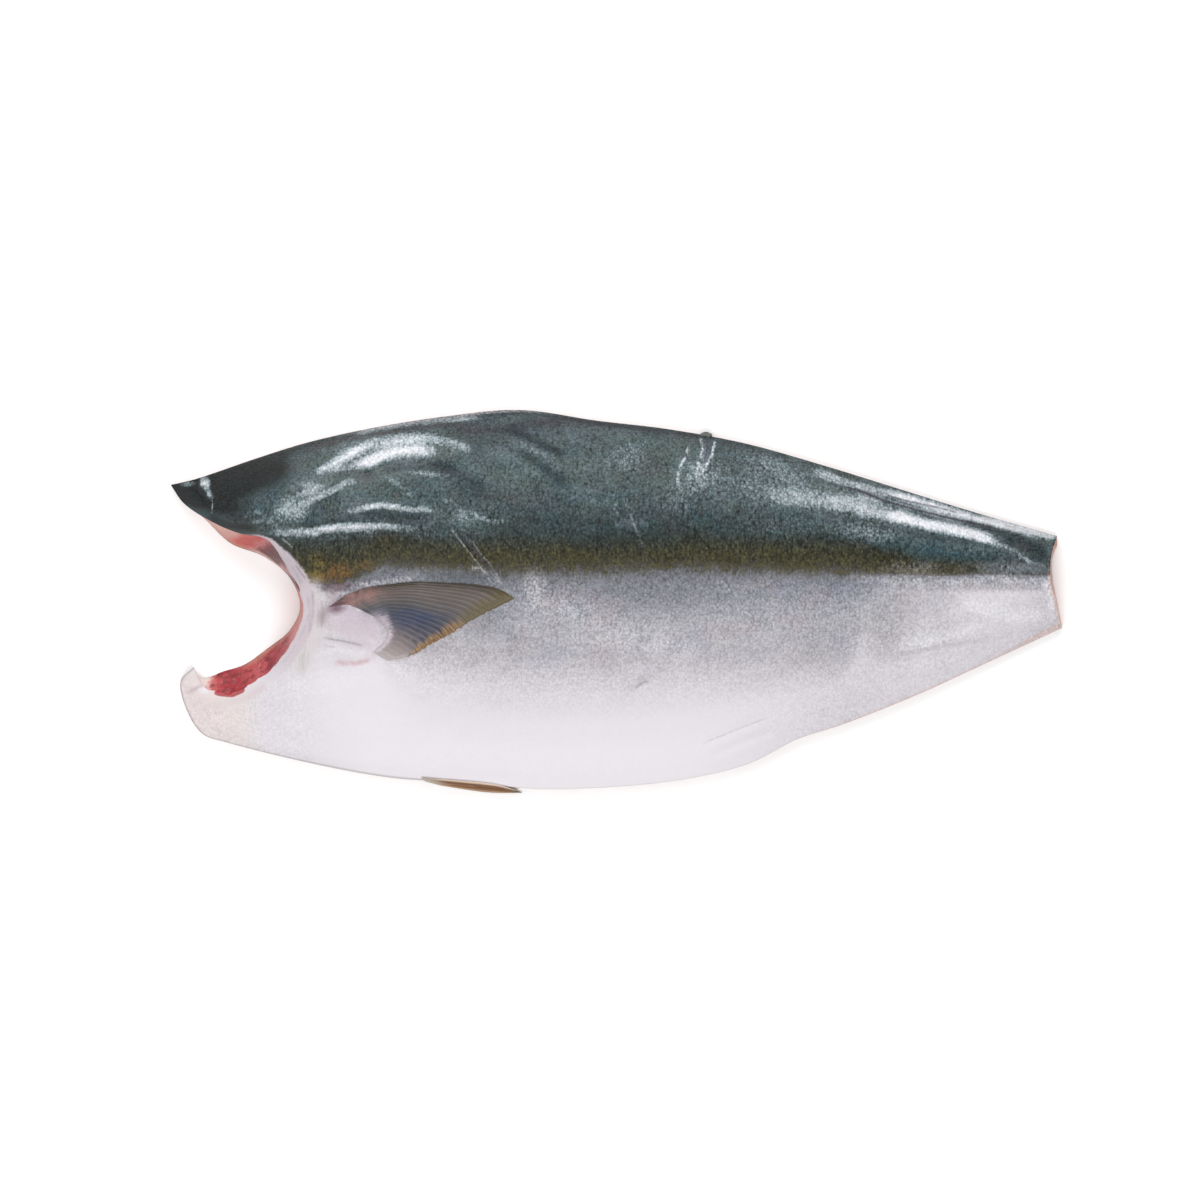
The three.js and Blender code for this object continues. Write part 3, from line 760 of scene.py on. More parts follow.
def markSkin(vert, layers, x, y):
    vert[layers["bandPlace"]] = bandAt(x, y)
    vert[layers["lobe"]] = clamp(1.6 * spotAt(x, y, finLobe))
    for name, mark in marks.items():
        strokes, spots = mark.get("strokes", ()), mark.get("spots", ())
        vert[layers[name]] = clamp(strokeAt(x, y, strokes) + spotAt(x, y, spots))
    for name, lines in hairs.items():
        vert[layers[name + "Side"]], vert[layers[name]] = hairlineAt(x, y, lines)


def tornMuscle(v, share):  # mm that the gill cut stands out and up, at a place round it and down it
    torn = fillet["torn"]
    along, down = v * torn["stretch"], share * torn["wall"]
    lower = smooth(v, 0.06, 0.1) * smooth(0.42 - v, 0, 0.06)
    upper = 0.35 * smooth(v, 0.36, 0.4) * smooth(0.8 - v, 0, 0.1)
    lumps = rough(along, down, 6, 1.5) + 0.6 * rough(along, down, 2.6, 8)
    strength = lower + upper
    return torn["out"] * strength * lumps * (1 - share), torn["up"] * strength * rough(along, down, 4, 5)


def makeFillet():
    columns, rows, rings = fillet["columns"], fillet["rows"], fillet["rings"]
    us, vs, last = crowded(columns), crowded(rows), len(rings)
    belly, back, hook = fillet["belly"], fillet["back"], fillet["collarHook"]
    over = patchBetween(fillet["gillRim"], fillet["tailRim"], belly, back, us, vs, hook)
    under = patchBetween(fillet["gillFoot"], fillet["tailFoot"], belly, back, us, vs, hook)
    bm = bmesh.new()
    sheetMesh(bm, columns, rows, last)
    names = ("bandPlace", "rimPlace", "backPlace", "bellyPlace", "tailPlace", "lobe", "fold", *marks,
             "hairSide", "hair", "slitSide", "slit", "cutPlace", "cutDepth", "onGill", "onTail", "onUnder")
    layers = {name: bm.verts.layers.float.new(name) for name in names}
    for face in bm.faces:
        depth = -sum(vert.co.z for vert in face.verts) / 4
        face.material_index = 0 if depth < 0.9 else 1
    for vert in bm.verts:
        i, j, ring = round(vert.co.x), round(vert.co.y), round(-vert.co.z)
        u, v, top, foot = us[i], vs[j], over[i, j], under[i, j]
        x, y = top
        toRim, toBack = (top - over[0, j]).length, (top - over[i, rows]).length
        toBelly, toTail = (top - over[i, 0]).length, (top - over[columns, j]).length
        skinZ = skinHeight(u, v) * fillet["roomForRelief"] + curlAt(x, y)
        if ring < last:
            inside = smooth(min(toRim, toBack, toBelly, toTail), 0, 4)
            fold = strokeAt(x, y, skinFolds) + wrinkles(x, y)
            uneven = sum(rise * rough(x, y, size, seed) for rise, size, seed in fillet["uneven"])
            skinZ += inside * (fold + lobeRise * spotAt(x, y, finLobe) + uneven)
            vert[layers["fold"]] = fold
            markSkin(vert, layers, x, y)
        tuck = fillet["underTuck"] * (1 - smooth(v, 0, 0.1) - smooth(v, 0.9, 1)) * smooth(u, 0, 0.03)
        foot = Vector((foot.x, foot.y + tuck))
        footZ = fleshHeight(u, v) + curlAt(foot.x, foot.y)
        share = rings[ring - 1] if ring else 0.0
        spot, z = top.lerp(foot, share), mix(skinZ, footZ, share)
        if i == 0 and 0 < share < 1:
            out, up = tornMuscle(v, share)
            lump = spotAt(spot.x, spot.y, fillet["torn"]["lump"])
            spot = spot + (foot - top).normalized() * (out + lump)
            z += up
        vert.co = (spot.x * mm, clamp(spot.y, -fillet["halfWidth"], fillet["halfWidth"]) * mm, max(z, 0) * mm)
        places = {"rimPlace": toRim, "backPlace": toBack, "bellyPlace": toBelly, "tailPlace": toTail,
                  "cutPlace": v, "cutDepth": share, "onGill": i == 0 and ring > 0,
                  "onTail": i == columns and ring > 0, "onUnder": ring == last}
        for name, value in places.items():
            vert[layers[name]] = value
    return addPiece(bm, "filletSide", [makeSkin(), makeFlesh()])


skinLook = {  # colours as they look on screen
    "scaleSize": (1.35, 1.6),  # mm along and across the fish
    "across": [  # mm above the olive band's lower edge, and the colour there
        (-110, (234, 229, 234)), (-88, (229, 224, 230)), (-77, (225, 220, 226)), (-68, (217, 212, 218)),
        (-60, (205, 201, 207)), (-51, (191, 187, 193)), (-42, (187, 185, 191)), (-33, (182, 181, 188)),
        (-24, (170, 171, 178)), (-15, (151, 153, 161)), (-8, (136, 138, 145)), (-4, (122, 123, 128)),
        (-1, (92, 90, 84)), (3, (78, 76, 60)), (8, (68, 67, 52)), (13, (62, 65, 57)), (18, (62, 70, 69)),
        (26, (68, 79, 82)), (36, (86, 98, 101)), (48, (86, 98, 100)), (57, (86, 99, 101)),
        (66, (88, 100, 103)), (75, (80, 90, 95)), (90, (72, 82, 87))],
    "teal": (52, 84, 92),
    "green": (86, 102, 90),
    "umber": (78, 76, 74),
    "slate": (112, 122, 130),
    "oliveLight": (90, 86, 58),
    "oliveBrown": (72, 66, 40),
    "oliveDark": (44, 46, 38),
    "lilac": (142, 146, 166),
    "rose": (180, 166, 172),
    "gold": (146, 124, 66),
    "amber": (138, 100, 58),
    # colours of the painted highlight on the wet back, from faint to full
    "pale": [(0.0, (94, 108, 112)), (0.25, (128, 142, 147)), (0.5, (158, 169, 174)), (0.75, (186, 193, 198)),
             (1.0, (218, 220, 225))],
    "soot": (24, 27, 28),
    # paler silver skin, also the colour of its painted highlights
    "white": (236, 233, 238),
    # dark skin, also the colour of painted shade in the grooves
    "dark": (42, 56, 62),
    "umberEdge": (62, 56, 60),
    "blush": (206, 170, 172),
    # mauve, also the colour of the painted shadow by the fin's leading edge
    "mauve": (116, 84, 94),
    "rim": (208, 196, 202),
    "rimCore": (186, 178, 192),
    "bare": (219, 211, 214),
    "bareStripe": (196, 190, 178),
    "collar": (232, 219, 216),
    "lobe": (212, 198, 208),
    "hair": (208, 214, 220),
    "slit": (84, 80, 96),
    "edge": (158, 156, 160),
    "hem": (220, 198, 194),
    "raw": (176, 62, 66),
    "clot": (112, 48, 58),
    # the colour of the thin painted shade along the belly's edge
    "under": (150, 142, 146),
}


def makeSkin():
    material, paint, shader = startMaterial("wetScaledSkin")
    place = paint.node("TexCoord", output=3)
    x, y = (paint.node("SeparateXYZ", None, {0: place}, axis) for axis in (0, 1))
    band, rim, back, belly, tail, cut, fold, lobe = (
        paint.attribute(name) for name in ("bandPlace", "rimPlace", "backPlace", "bellyPlace", "tailPlace",
                                           "cutPlace", "fold", "lobe"))
    # named in the order that marks holds them
    (pale, soot, white, dark, sea, umber, blush, mauve, raw, bare, gold,
     wet) = (paint.attribute(name) for name in marks)
    hair, slit = ((1 - abs(paint.attribute(name + "Side"))).between(-0.2, 0.9) * paint.attribute(name)
                  for name in hairs)

    along, across = (1000 / size for size in skinLook["scaleSize"])
    scales = paint.node("TexVoronoi", {"feature": "F1"},
                        {"Vector": paint.stretched(place, (along, across, across)), "Scale": 1.0,
                         "Randomness": 0.85})
    chance = paint.node("SeparateColor", None, {0: scales.other(1)}, 0)
    streaks = paint.noise(paint.stretched(place, (720, 210, 210)), 1.0, 2.0, 0.6)
    grain = paint.noise(place, 620.0, 2.0, 0.6)
    mottle = paint.noise(paint.stretched(place, (150, 210, 210)), 1.0, 3.0, 0.6)
    clouds = paint.noise(place, 32.0, 3.0, 0.6)
    stripes = paint.noise(paint.stretched(place, (260, 26, 26)), 1.0, 3.0, 0.6)
    tints = paint.noise(paint.stretched(place, (34, 52, 52)), 1.0, 5.0, 0.68, 1)
    tealShare, greenShare, umberShare = (paint.node("SeparateColor", None, {0: tints}, k) for k in (0, 1, 2))
    speck = (0.42 - scales) * 1.2 + (chance - 0.5) * 0.6 + (grain - 0.5) * 1.1 + (streaks - 0.5) * 0.9
    bandGrain = streaks * 0.4 + mottle * 0.3 + grain * 0.2 + chance * 0.1
    broken = streaks * 0.4 + grain * 0.6

    # the bands of colour, with ragged edges
    wander = (streaks - 0.5) * 11 + (mottle - 0.5) * 7 + (clouds - 0.5) * 5 + (chance - 0.5) * 2
    onBack = (band + wander * 0.6).between(13, 23)
    inBand = (band + wander).between(-2, 3) * (band + wander).between(22, 11)
    onSide = band.between(-3, -12) * band.between(-72, -40)
    base = paint.layered((band + wander).ramp(-110, 90, skinLook["across"]), skinLook, [
        (onBack * (sea * 0.75 + tealShare.between(0.46, 0.66) * 0.4), "teal"),
        (onBack * greenShare.between(0.46, 0.66) * 0.4, "green"),
        (onBack * umberShare.between(0.48, 0.66) * 0.45, "umber"),
        (onBack * umberShare.between(0.48, 0.34) * 0.4, "slate"),
        (onSide * tealShare.between(0.48, 0.62) * 0.3, "lilac"),
        (onSide * umberShare.between(0.5, 0.64) * 0.35, "rose"),
        (inBand * bandGrain.between(0.49, 0.62) * 0.7, "oliveLight"),
        (inBand * greenShare.between(0.48, 0.6) * 0.4, "oliveBrown"),
        (inBand * bandGrain.between(0.49, 0.38) * 0.7, "oliveDark"),
    ])

    # gold behind the gill cut, the dark nape, the painted highlights of the wet back, and its dark skin with
    # painted shade in the grooves
    goldTone = paint.blend(x.between(-0.179, -0.171), skinLook["gold"], skinLook["amber"])
    goldShare = gold * (band + wander * 0.7).between(-2, 1) * (streaks * 0.5 + grain * 0.5).between(0.3, 0.6)
    tailEnd = (x + (mottle - 0.5) * 0.03).between(0.2, 0.24)
    sootShare = soot + soot * (1 - soot) * (speck * 0.5 + (mottle - 0.5) * 2.4 + (clouds - 0.5) * 2)
    # the painted highlight, broken up by the scales and the mottle
    shine = pale + pale * (1 - pale) * (speck + (mottle - 0.5) * 1.8) * 0.8
    base = paint.layered(base, skinLook, [
        (goldShare * 0.8, goldTone),
        (tailEnd * inBand * 0.75, "slate"),
        (sootShare * band.between(6, 18) * 0.9, "soot"),
        (umber * (mottle * 0.5 + grain * 0.5).between(0.34, 0.52) * 0.85, "umberEdge"),
        (shine.between(0.0, 0.4) * onBack, shine.ramp(0, 1, skinLook["pale"])),
        # dark skin, and painted shade in the grooves
        ((dark + (mottle - 0.5) * dark * (1 - dark)) * 0.8, "dark"),
    ])

    # scaleless skin round the fin, the collar, and the skin's edge along the gill cut
    bareShare = bare * (band + wander * 0.5).between(4, -3)
    collar = x.between(-0.205, -0.235) * y.between(-0.03, -0.05)
    edgeOfCut = rim + (mottle - 0.5) * 5 + (grain - 0.5) * 3
    rimWidth = y.between(0.038, 0.018) * 6.4 + 2.4
    rimShare = (rimWidth - edgeOfCut).between(-0.8, 1.6) * cut.between(0.76, 0.68) * cut.between(0.2, 0.34)
    rimTone = paint.blend(abs(rim - 3.2).between(1.6, 0.4) * mottle.between(0.4, 0.6) * 0.6,
                          skinLook["rim"], skinLook["rimCore"])
    rawTone = paint.blend(cut.between(0.4, 0.5), skinLook["raw"], skinLook["clot"])
    base = paint.layered(base, skinLook, [
        (bareShare * 0.9, "bare"),
        (bareShare * stripes.between(0.5, 0.66) * 0.7, "bareStripe"),
        (lobe * (0.6 + clouds * 0.4), "lobe"),
        # mauve blotch and painted shadow along the fin's leading edge
        (mauve * 0.9, "mauve"),
        (blush * 0.75, "blush"),
        (collar * (1 - blush) * 0.8, "collar"),
        (rimShare * 0.9, rimTone),
        ((raw + (mottle - 0.5) * raw).between(0.3, 0.6) * 0.9, rawTone),
    ])

    # the silver side's paler skin and painted highlights, hairlines, painted shade along the back's and
    # belly's edges, and the edges of back, belly and tail
    paleSkinAndHighlightShare = (white + white * (1 - white) * (speck * 0.4 + (mottle - 0.5) * 2)).between(0.0, 1.0)
    onFront = x.between(0.09, 0.04)
    edgeShare = (x + (mottle - 0.5) * 0.04).between(-0.17, -0.145) * (0.3 + grain.between(0.35, 0.6) * 0.7)
    hemWidth = x.between(0.22, 0.262) * 2.6 + 1.0 + (mottle - 0.5) * 2
    bellyHem = (belly - hemWidth).between(0.8, -0.8) * x.between(0.1, 0.16)
    base = paint.layered(base, skinLook, [
        # paler skin, and painted highlights on the side's folds
        (paleSkinAndHighlightShare * (1 - onBack) * 0.85, "white"),
        (hair * broken.between(0.36, 0.56) * 0.8, "hair"),
        (slit * broken.between(0.3, 0.55), "slit"),
        # painted shade along the back's edge, where the skin turns down
        (back.between(4.0, 1.8) * onBack * (0.15 + onFront * 0.3), "soot"),
        (back.between(2.2, 0.6) * edgeShare * x.between(-0.03, -0.07), "edge"),
        # painted shade: a thin grey line along the belly's lower edge at the front
        (belly.between(1.8, 0.4) * x.between(-0.06, -0.1) * 0.5, "under"),
        ((bellyHem + tail.between(2.4, 0.6) * band.between(8, -6)) * 0.8, "hem"),
    ])

    pigment = band.between(-96, -48) * rim.between(4, 12) * (1 - lobe * 0.8) * (1 - bare * 0.8)
    contrast = 0.02 + pigment * (0.38 + band.between(-50, -6) * 0.26 + band.between(2, 12) * 0.3)
    fleck = speck * contrast * (1 - pale * 0.6) + (clouds - 0.5) * band.between(-80, -40) * 0.5
    # painted shade in the folds' grooves and painted highlight on their ridges, from the folds' height
    foldShadeAndHighlight = fold.between(-0.1, -1.3) * -0.34 + fold.between(0.1, 1.2) * 0.16
    base = paint.blend(1.0, base, paint.grey((1 + fleck) * (1 + foldShadeAndHighlight * pigment)), "MULTIPLY")

    roughness = 0.5 - wet * 0.2 + (clouds - 0.5) * 0.2
    height = (0.6 - scales) * pigment + grain * 0.3 + mottle * 0.5 + clouds * wet * 2.5 + (hair - slit) * 1.2
    connect(paint, shader, {"Base Color": base, "Roughness": roughness,
                            "Normal": paint.relief(height, 0.55, 0.0007),
                            "Specular IOR Level": 0.2, "Coat Weight": wet * 0.22, "Coat Roughness": 0.3})
    return material


fleshLook = {
    # share of the way round the gill cut, from the collar's tip to the nape's tip
    "gillCut": [
        (0.0, (236, 214, 208)), (0.06, (238, 222, 216)), (0.08, (216, 130, 126)), (0.1, (180, 54, 64)),
        (0.15, (166, 46, 58)), (0.2, (184, 76, 80)), (0.24, (190, 84, 88)), (0.28, (160, 50, 60)),
        (0.33, (168, 64, 70)), (0.37, (196, 118, 118)), (0.42, (204, 138, 134)), (0.47, (206, 116, 104)),
        (0.5, (206, 104, 92)), (0.515, (150, 66, 70)), (0.525, (96, 38, 50)), (0.55, (110, 46, 58)),
        (0.57, (176, 116, 116)), (0.585, (186, 130, 130)), (0.6, (96, 26, 38)), (0.64, (90, 22, 34)),
        (0.66, (120, 50, 58)), (0.68, (190, 116, 114)), (0.7, (188, 76, 72)), (0.74, (196, 86, 78)),
        (0.77, (206, 150, 142)), (0.81, (210, 162, 148)), (0.86, (206, 150, 132)), (0.91, (140, 104, 92)),
        (0.95, (60, 54, 50)), (1.0, (40, 40, 38))],
    "clot": (124, 28, 38),
    "sinew": (226, 140, 138),
    "outer": (214, 150, 128),
    "fat": (232, 212, 212),
    "meat": (214, 158, 146),
    "meatLight": (226, 190, 180),
    "bloodline": (126, 46, 44),
    "lining": (224, 208, 202),
    "ribs": (198, 144, 138),
    "tail": (224, 168, 146),
    "tailDark": (190, 120, 104),
    "edge": (218, 200, 194),
}


def makeFlesh():
    material, paint, shader = startMaterial("rawFlesh")
    place = paint.node("TexCoord", output=3)
    x = paint.node("SeparateXYZ", None, {0: place}, 0)
    v, depth, gill, tail, under = (paint.attribute(name) for name in
                                   ("cutPlace", "cutDepth", "onGill", "onTail", "onUnder"))
    fibre = paint.noise(paint.stretched(place, (300, 300, 120)), 1.0, 3.0, 0.6)
    lumps = paint.noise(place, 210.0, 3.0, 0.62)
    bits = paint.noise(place, 480.0, 2.0, 0.6)

    deep = v.between(0.5, 0.53) * v.between(0.69, 0.66) * abs(depth - 0.42).between(0.36, 0.46)
    torn = v.between(0.06, 0.09) * v.between(0.38, 0.33)
    underSkin = depth.between(0.13, 0.03) * v.between(0.6, 0.56) * v.between(0.24, 0.32)
    cut = (v + (lumps - 0.5) * 0.05 + (fibre - 0.5) * 0.02).ramp(0, 1, fleshLook["gillCut"])
    cut = paint.layered(cut, fleshLook, [
        (deep * 0.7, "fat"),
        (torn * lumps.between(0.48, 0.6) * 0.75, "clot"),
        (torn * bits.between(0.58, 0.72) * 0.3, "sinew"),
        (depth.between(0.7, 0.97) * 0.6 * v.between(0.12, 0.24), "outer"),
        (underSkin * 0.85, "fat"),
    ])

    # the flesh side: flakes, the dark line by the backbone, and the belly's lining over the ribs
    bend = abs(v - 0.55)
    flakes = paint.node("CombineXYZ", None, {0: x + bend * 0.12, 1: 0.0, 2: 0.0})
    segments = paint.node("TexWave", {"wave_type": "BANDS", "bands_direction": "X", "wave_profile": "SAW"},
                          {"Vector": flakes, "Scale": 22.0, "Distortion": 0.0})
    ribs = paint.node("TexWave", {"wave_type": "BANDS", "bands_direction": "X"},
                      {"Vector": place, "Scale": 16.0, "Distortion": 1.5})
    flakeShare = (1 - segments.between(0.0, 0.12)) * 0.6 + lumps * 0.25
    bloodline = v.between(0.5, 0.54) * v.between(0.62, 0.57)
    meat = paint.blend(flakeShare, fleshLook["meat"], fleshLook["meatLight"])
    meat = paint.blend(bloodline * (0.45 + 0.55 * fibre), meat, fleshLook["bloodline"])
    lining = paint.blend(ribs.between(0.3, 0.9) * 0.4, fleshLook["lining"], fleshLook["ribs"])
    meat = paint.blend(v.between(0.42, 0.34) * x.between(0.09, 0.04) * 0.85, meat, lining)

    tailDark = lumps.between(0.35, 0.6) * v.between(0.2, 0.6)
    tailCut = paint.blend(tailDark, fleshLook["tail"], fleshLook["tailDark"])
    base = paint.blend(under, fleshLook["edge"], meat)
    base = paint.layered(base, fleshLook, [(tail, tailCut), (gill, cut)])
    connect(paint, shader, {"Base Color": base, "Roughness": 0.36 + lumps * 0.2,
                            "Normal": paint.relief(fibre * 0.5 + lumps + bits * 0.5, 0.6, 0.0012),
                            "Specular IOR Level": 0.3,
                            "Subsurface Weight": 0.1, "Subsurface Radius": (0.006, 0.002, 0.0012),
                            "Subsurface Scale": 1.0, "Coat Weight": 0.12, "Coat Roughness": 0.2})
    return material


filletSide = makeFillet()
dress(filletSide)
print("fillet made,", len(filletSide.data.polygons), "faces")

skinTree = BVHTree.FromObject(filletSide, bpy.context.evaluated_depsgraph_get())


def skinUnder(x, y):  # height of the skin in mm below a place in mm
    hit = skinTree.ray_cast(Vector((x * mm, y * mm, 1)), Vector((0, 0, -1)))[0]
    return hit.z / mm if hit else 0.0


pectoral = {  # mm
    "root": [(-146, -30.2), (-139.8, -26), (-136.8, -19.5), (-139, -13.6), (-149.1, -6.9),
             (-159.9, -2.1), (-167.1, -2.4), (-171.9, -3.3)],
    "leading": [(-171.9, -3.3), (-162.9, 2.7), (-150.3, 7.8), (-135.9, 10.2), (-120.9, 11.7), (-102.9, 11.3),
                (-81.9, 10), (-69.9, 7.4), (-60.9, 1.8)],
    "trailing": [(-146, -30.2), (-137.4, -35.4)],
    "margin": [(-137.4, -35.4), (-123.3, -32.6), (-112.5, -26.4), (-97.5, -18.3), (-84.3, -9.9),
               (-72.9, -4.1), (-60.9, 1.8)],
    "rays": 21,
    "edgeRise": 0.15,
    "bladeRise": 1.1,
    "rootRise": 1.6,
    "rayRelief": 0.2,
    "marginLength": 90,
    "fray": {"along": 0.9, "across": 0.6, "betweenRays": 0.35, "size": 3},
    "sink": 0.8,
    "along": 90,
    "across": 252,
}


def makePectoral():
    fray = pectoral["fray"]
    alongs, sides = evenly(pectoral["along"]), evenly(pectoral["across"])
    fan = patchBetween(pectoral["root"], pectoral["margin"], pectoral["trailing"], pectoral["leading"],
                       alongs, sides)
    bm = bmesh.new()
    sheetMesh(bm, pectoral["along"], pectoral["across"], 1)
    layers = {name: bm.verts.layers.float.new(name) for name in ("alongRay", "acrossRays")}
    for vert in bm.verts:
        i, j, below = round(vert.co.x), round(vert.co.y), vert.co.z < -0.5
        along, side = alongs[i], sides[j]
        x, y = fan[i, j]
        rays = math.cos(2 * math.pi * pectoral["rays"] * side)
        frayed = smooth(along, 0.75, 1) * (1 - smooth(side, 0.85, 1))
        alongFray, acrossFray = (rough(side * pectoral["marginLength"], 0, fray["size"], seed)
                                 for seed in (5, 9))
        x += frayed * (fray["along"] * alongFray + fray["betweenRays"] * rays)
        y += frayed * fray["across"] * acrossFray
        inside = smooth(side, 0, 0.04) * smooth(1 - side, 0, 0.02)
        inside *= smooth(along, 0, 0.05) * smooth(1 - along, 0, 0.06)
        full = mix(pectoral["bladeRise"], pectoral["rootRise"], 1 - smooth(along, 0.0, 0.35))
        relief = pectoral["rayRelief"] * rays * smooth(along, 0.02, 0.3)
        wave = 0.5 * rough(x, y, 26, 2.0) * smooth(along, 0.3, 0.8)
        rise = pectoral["edgeRise"] + inside * (full - pectoral["edgeRise"] + relief + wave)
        z = skinUnder(x, y) + (-pectoral["sink"] if below else rise)
        vert.co = (x * mm, y * mm, z * mm)
        vert[layers["alongRay"]], vert[layers["acrossRays"]] = along, side
    return addPiece(bm, "pectoralFin", [makeFinLook()])


finLook = {
    "across": [  # from the trailing ray to the leading ray
        (0.0, (194, 186, 188)), (0.1, (170, 158, 156)), (0.22, (136, 126, 128)), (0.34, (94, 92, 104)),
        (0.44, (76, 80, 98)), (0.56, (78, 80, 90)), (0.66, (100, 94, 94)), (0.8, (110, 100, 96)),
        (0.9, (102, 92, 84)), (0.95, (70, 60, 48)), (1.0, (52, 46, 36))],
    "blue": (64, 77, 108),
    "stripe": (54, 52, 60),
    "sheen": (130, 122, 118),
    "root": (208, 195, 204),
    "rootWarm": (168, 122, 118),
    # mauve, also the colour of painted shadow at the root under the leading edge
    "rootMauveAndShadow": (104, 72, 78),
    "gold": (178, 138, 84),
    "brown": (112, 84, 54),
    "tip": (104, 92, 58),
    "hem": (196, 186, 184),
}


def makeFinLook():
    material, paint, shader = startMaterial("finBlade")
    place = paint.node("TexCoord", output=3)
    along, side = paint.attribute("alongRay"), paint.attribute("acrossRays")
    blotch = paint.noise(place, 110.0, 3.0, 0.6)
    fibres = paint.node("CombineXYZ", None, {0: side * 120, 1: along * 5, 2: 0.0})
    thread = paint.noise(fibres, 1.0, 3.0, 0.65)
    rays = paint.math("COSINE", side * (2 * math.pi * pectoral["rays"])) * 0.5 + 0.5

    blueShare = abs(along - 0.56).between(0.28, 0.1) * abs(side - 0.46).between(0.16, 0.04)
    gaps = (1 - rays) * 0.5 + (0.6 - thread) * 1.6
    gapShare = gaps.between(0.2, 0.9) * along.between(0.1, 0.5) * side.between(0.06, 0.3)
    lower = side.between(0.6, 0.44) * side.between(0.16, 0.28) * along.between(0.4, 0.7)
    light = (rays * 0.4 + (thread - 0.4) * 1.6).between(0.3, 0.9) * along.between(0.1, 0.3)
    warm = along.between(0.36, 0.1) * side.between(0.6, 0.8) * blotch.between(0.35, 0.6)
    rootPlace = along + (thread - 0.5) * 0.4 + (blotch - 0.5) * 0.24 - side.between(0.4, 0.05) * 0.12
    nearRoot = rootPlace.between(0.22, 0.0) * side.between(0.62, 0.4)
    # the fringe along the margin: pale at the trailing ray, then gold, then brown at the tip
    fringe = along + (thread - 0.5) * 0.16 + (blotch - 0.5) * 0.14
    fromTrailing = side + (blotch - 0.5) * 0.16
    golden = fringe.between(0.86, 0.97) * fromTrailing.between(0.14, 0.24) * fromTrailing.between(0.66, 0.5)
    goldTone = paint.blend(thread.between(0.55, 0.42), finLook["gold"], finLook["brown"])
    base = paint.layered((side + (blotch - 0.5) * 0.12).ramp(0, 1, finLook["across"]), finLook, [
        (blueShare * blotch.between(0.3, 0.6) * 0.8, "blue"),
        (gapShare * (0.3 + lower * 0.6), "stripe"),
        (light * (0.3 + side.between(0.5, 0.7) * 0.4), "sheen"),
        (warm * 0.8, "rootWarm"),
        (nearRoot * 0.95, "root"),
        # mauve at the root by the leading ray, with painted shadow under the fin's leading edge
        (along.between(0.14, 0.0) * side.between(0.78, 0.92) * 0.85, "rootMauveAndShadow"),
        (fringe.between(0.86, 0.98) * fromTrailing.between(0.22, 0.12) * 0.8, "hem"),
        (fringe.between(0.86, 0.98) * fromTrailing.between(0.5, 0.64) * 0.8, "tip"),
        (golden * 0.8, goldTone),
    ])
    connect(paint, shader, {"Base Color": base, "Roughness": 0.4 + blotch * 0.16,
                            "Normal": paint.relief(thread, 0.45, 0.0004),
                            "Specular IOR Level": 0.3, "Coat Weight": 0.15, "Coat Roughness": 0.2})
    return material


pelvic = {  # mm
    "root": [(-117, -105.6), (-107, -106.4), (-90.9, -107.6), (-77.7, -108.8), (-69.9, -110.2),
             (-62.7, -112.3), (-57.4, -114.4)],
    "margin": [(-115, -107.8), (-105.9, -110.2), (-96.9, -111.8), (-87.9, -113.2), (-77.7, -114.5),
               (-68, -114.9), (-56.7, -114.7)],
    "rise": 0.5,
    "edgeRise": 1,
    "rays": 5,
    "rayRelief": 0.12,
    "along": 90,
    "across": 18,
}


def makePelvic():
    alongs, sides = evenly(pelvic["along"]), evenly(pelvic["across"])
    start, end = ([pelvic["margin"][k], pelvic["root"][k]] for k in (0, -1))
    blade = patchBetween(start, end, pelvic["margin"], pelvic["root"], alongs, sides)
    bm = bmesh.new()
    sheetMesh(bm, pelvic["along"], pelvic["across"], 1)
    layers = {name: bm.verts.layers.float.new(name) for name in ("alongRay", "acrossRays")}
    for vert in bm.verts:
        i, j, below = round(vert.co.x), round(vert.co.y), vert.co.z < -0.5
        along, side = alongs[i], sides[j]
        x, y = blade[i, j]
        top = max(skinUnder(x, y), skinUnder(x, y + 2)) + pelvic["rise"]
        ray = pelvic["rayRelief"] * math.cos(2 * math.pi * pelvic["rays"] * side)
        rise = mix(pelvic["edgeRise"], top, smooth(side, 0, 0.7)) + ray
        vert.co = (x * mm, max(y, -fillet["halfWidth"]) * mm, (0.2 if below else rise) * mm)
        vert[layers["alongRay"]], vert[layers["acrossRays"]] = along, side
    return addPiece(bm, "pelvicFin", [makePelvicLook()])


pelvicLook = {
    "across": [(0.0, (206, 182, 158)), (0.2, (176, 134, 98)), (0.42, (142, 98, 60)), (0.64, (106, 68, 36)),
               (0.76, (116, 80, 48)), (0.84, (216, 184, 148)), (1.0, (228, 214, 208))],
    "ends": (184, 172, 156),
}


def makePelvicLook():
    material, paint, shader = startMaterial("pelvicBlade")
    along, side = paint.attribute("alongRay"), paint.attribute("acrossRays")
    fibres = paint.node("CombineXYZ", None, {0: side * 22, 1: along * 5, 2: 0.0})
    thread = paint.noise(fibres, 1.0, 3.0, 0.6)
    base = (side + (thread - 0.5) * 0.3).ramp(0, 1, pelvicLook["across"])
    ends = along.between(0.8, 1.0) * 0.6 + along.between(0.26, 0.06) * 0.85
    base = paint.blend(ends, base, pelvicLook["ends"])
    connect(paint, shader, {"Base Color": base, "Roughness": 0.4 + thread * 0.1,
                            "Normal": paint.relief(thread, 0.4, 0.0004)})
    return material


stub = {  # mm
    "at": (53.7, 99.4, 3.2),
    "half": (4.0, 2.2, 2.4),
    "uneven": 0.16,
    "colour": (56, 64, 54),
    "light": (104, 108, 94),
}


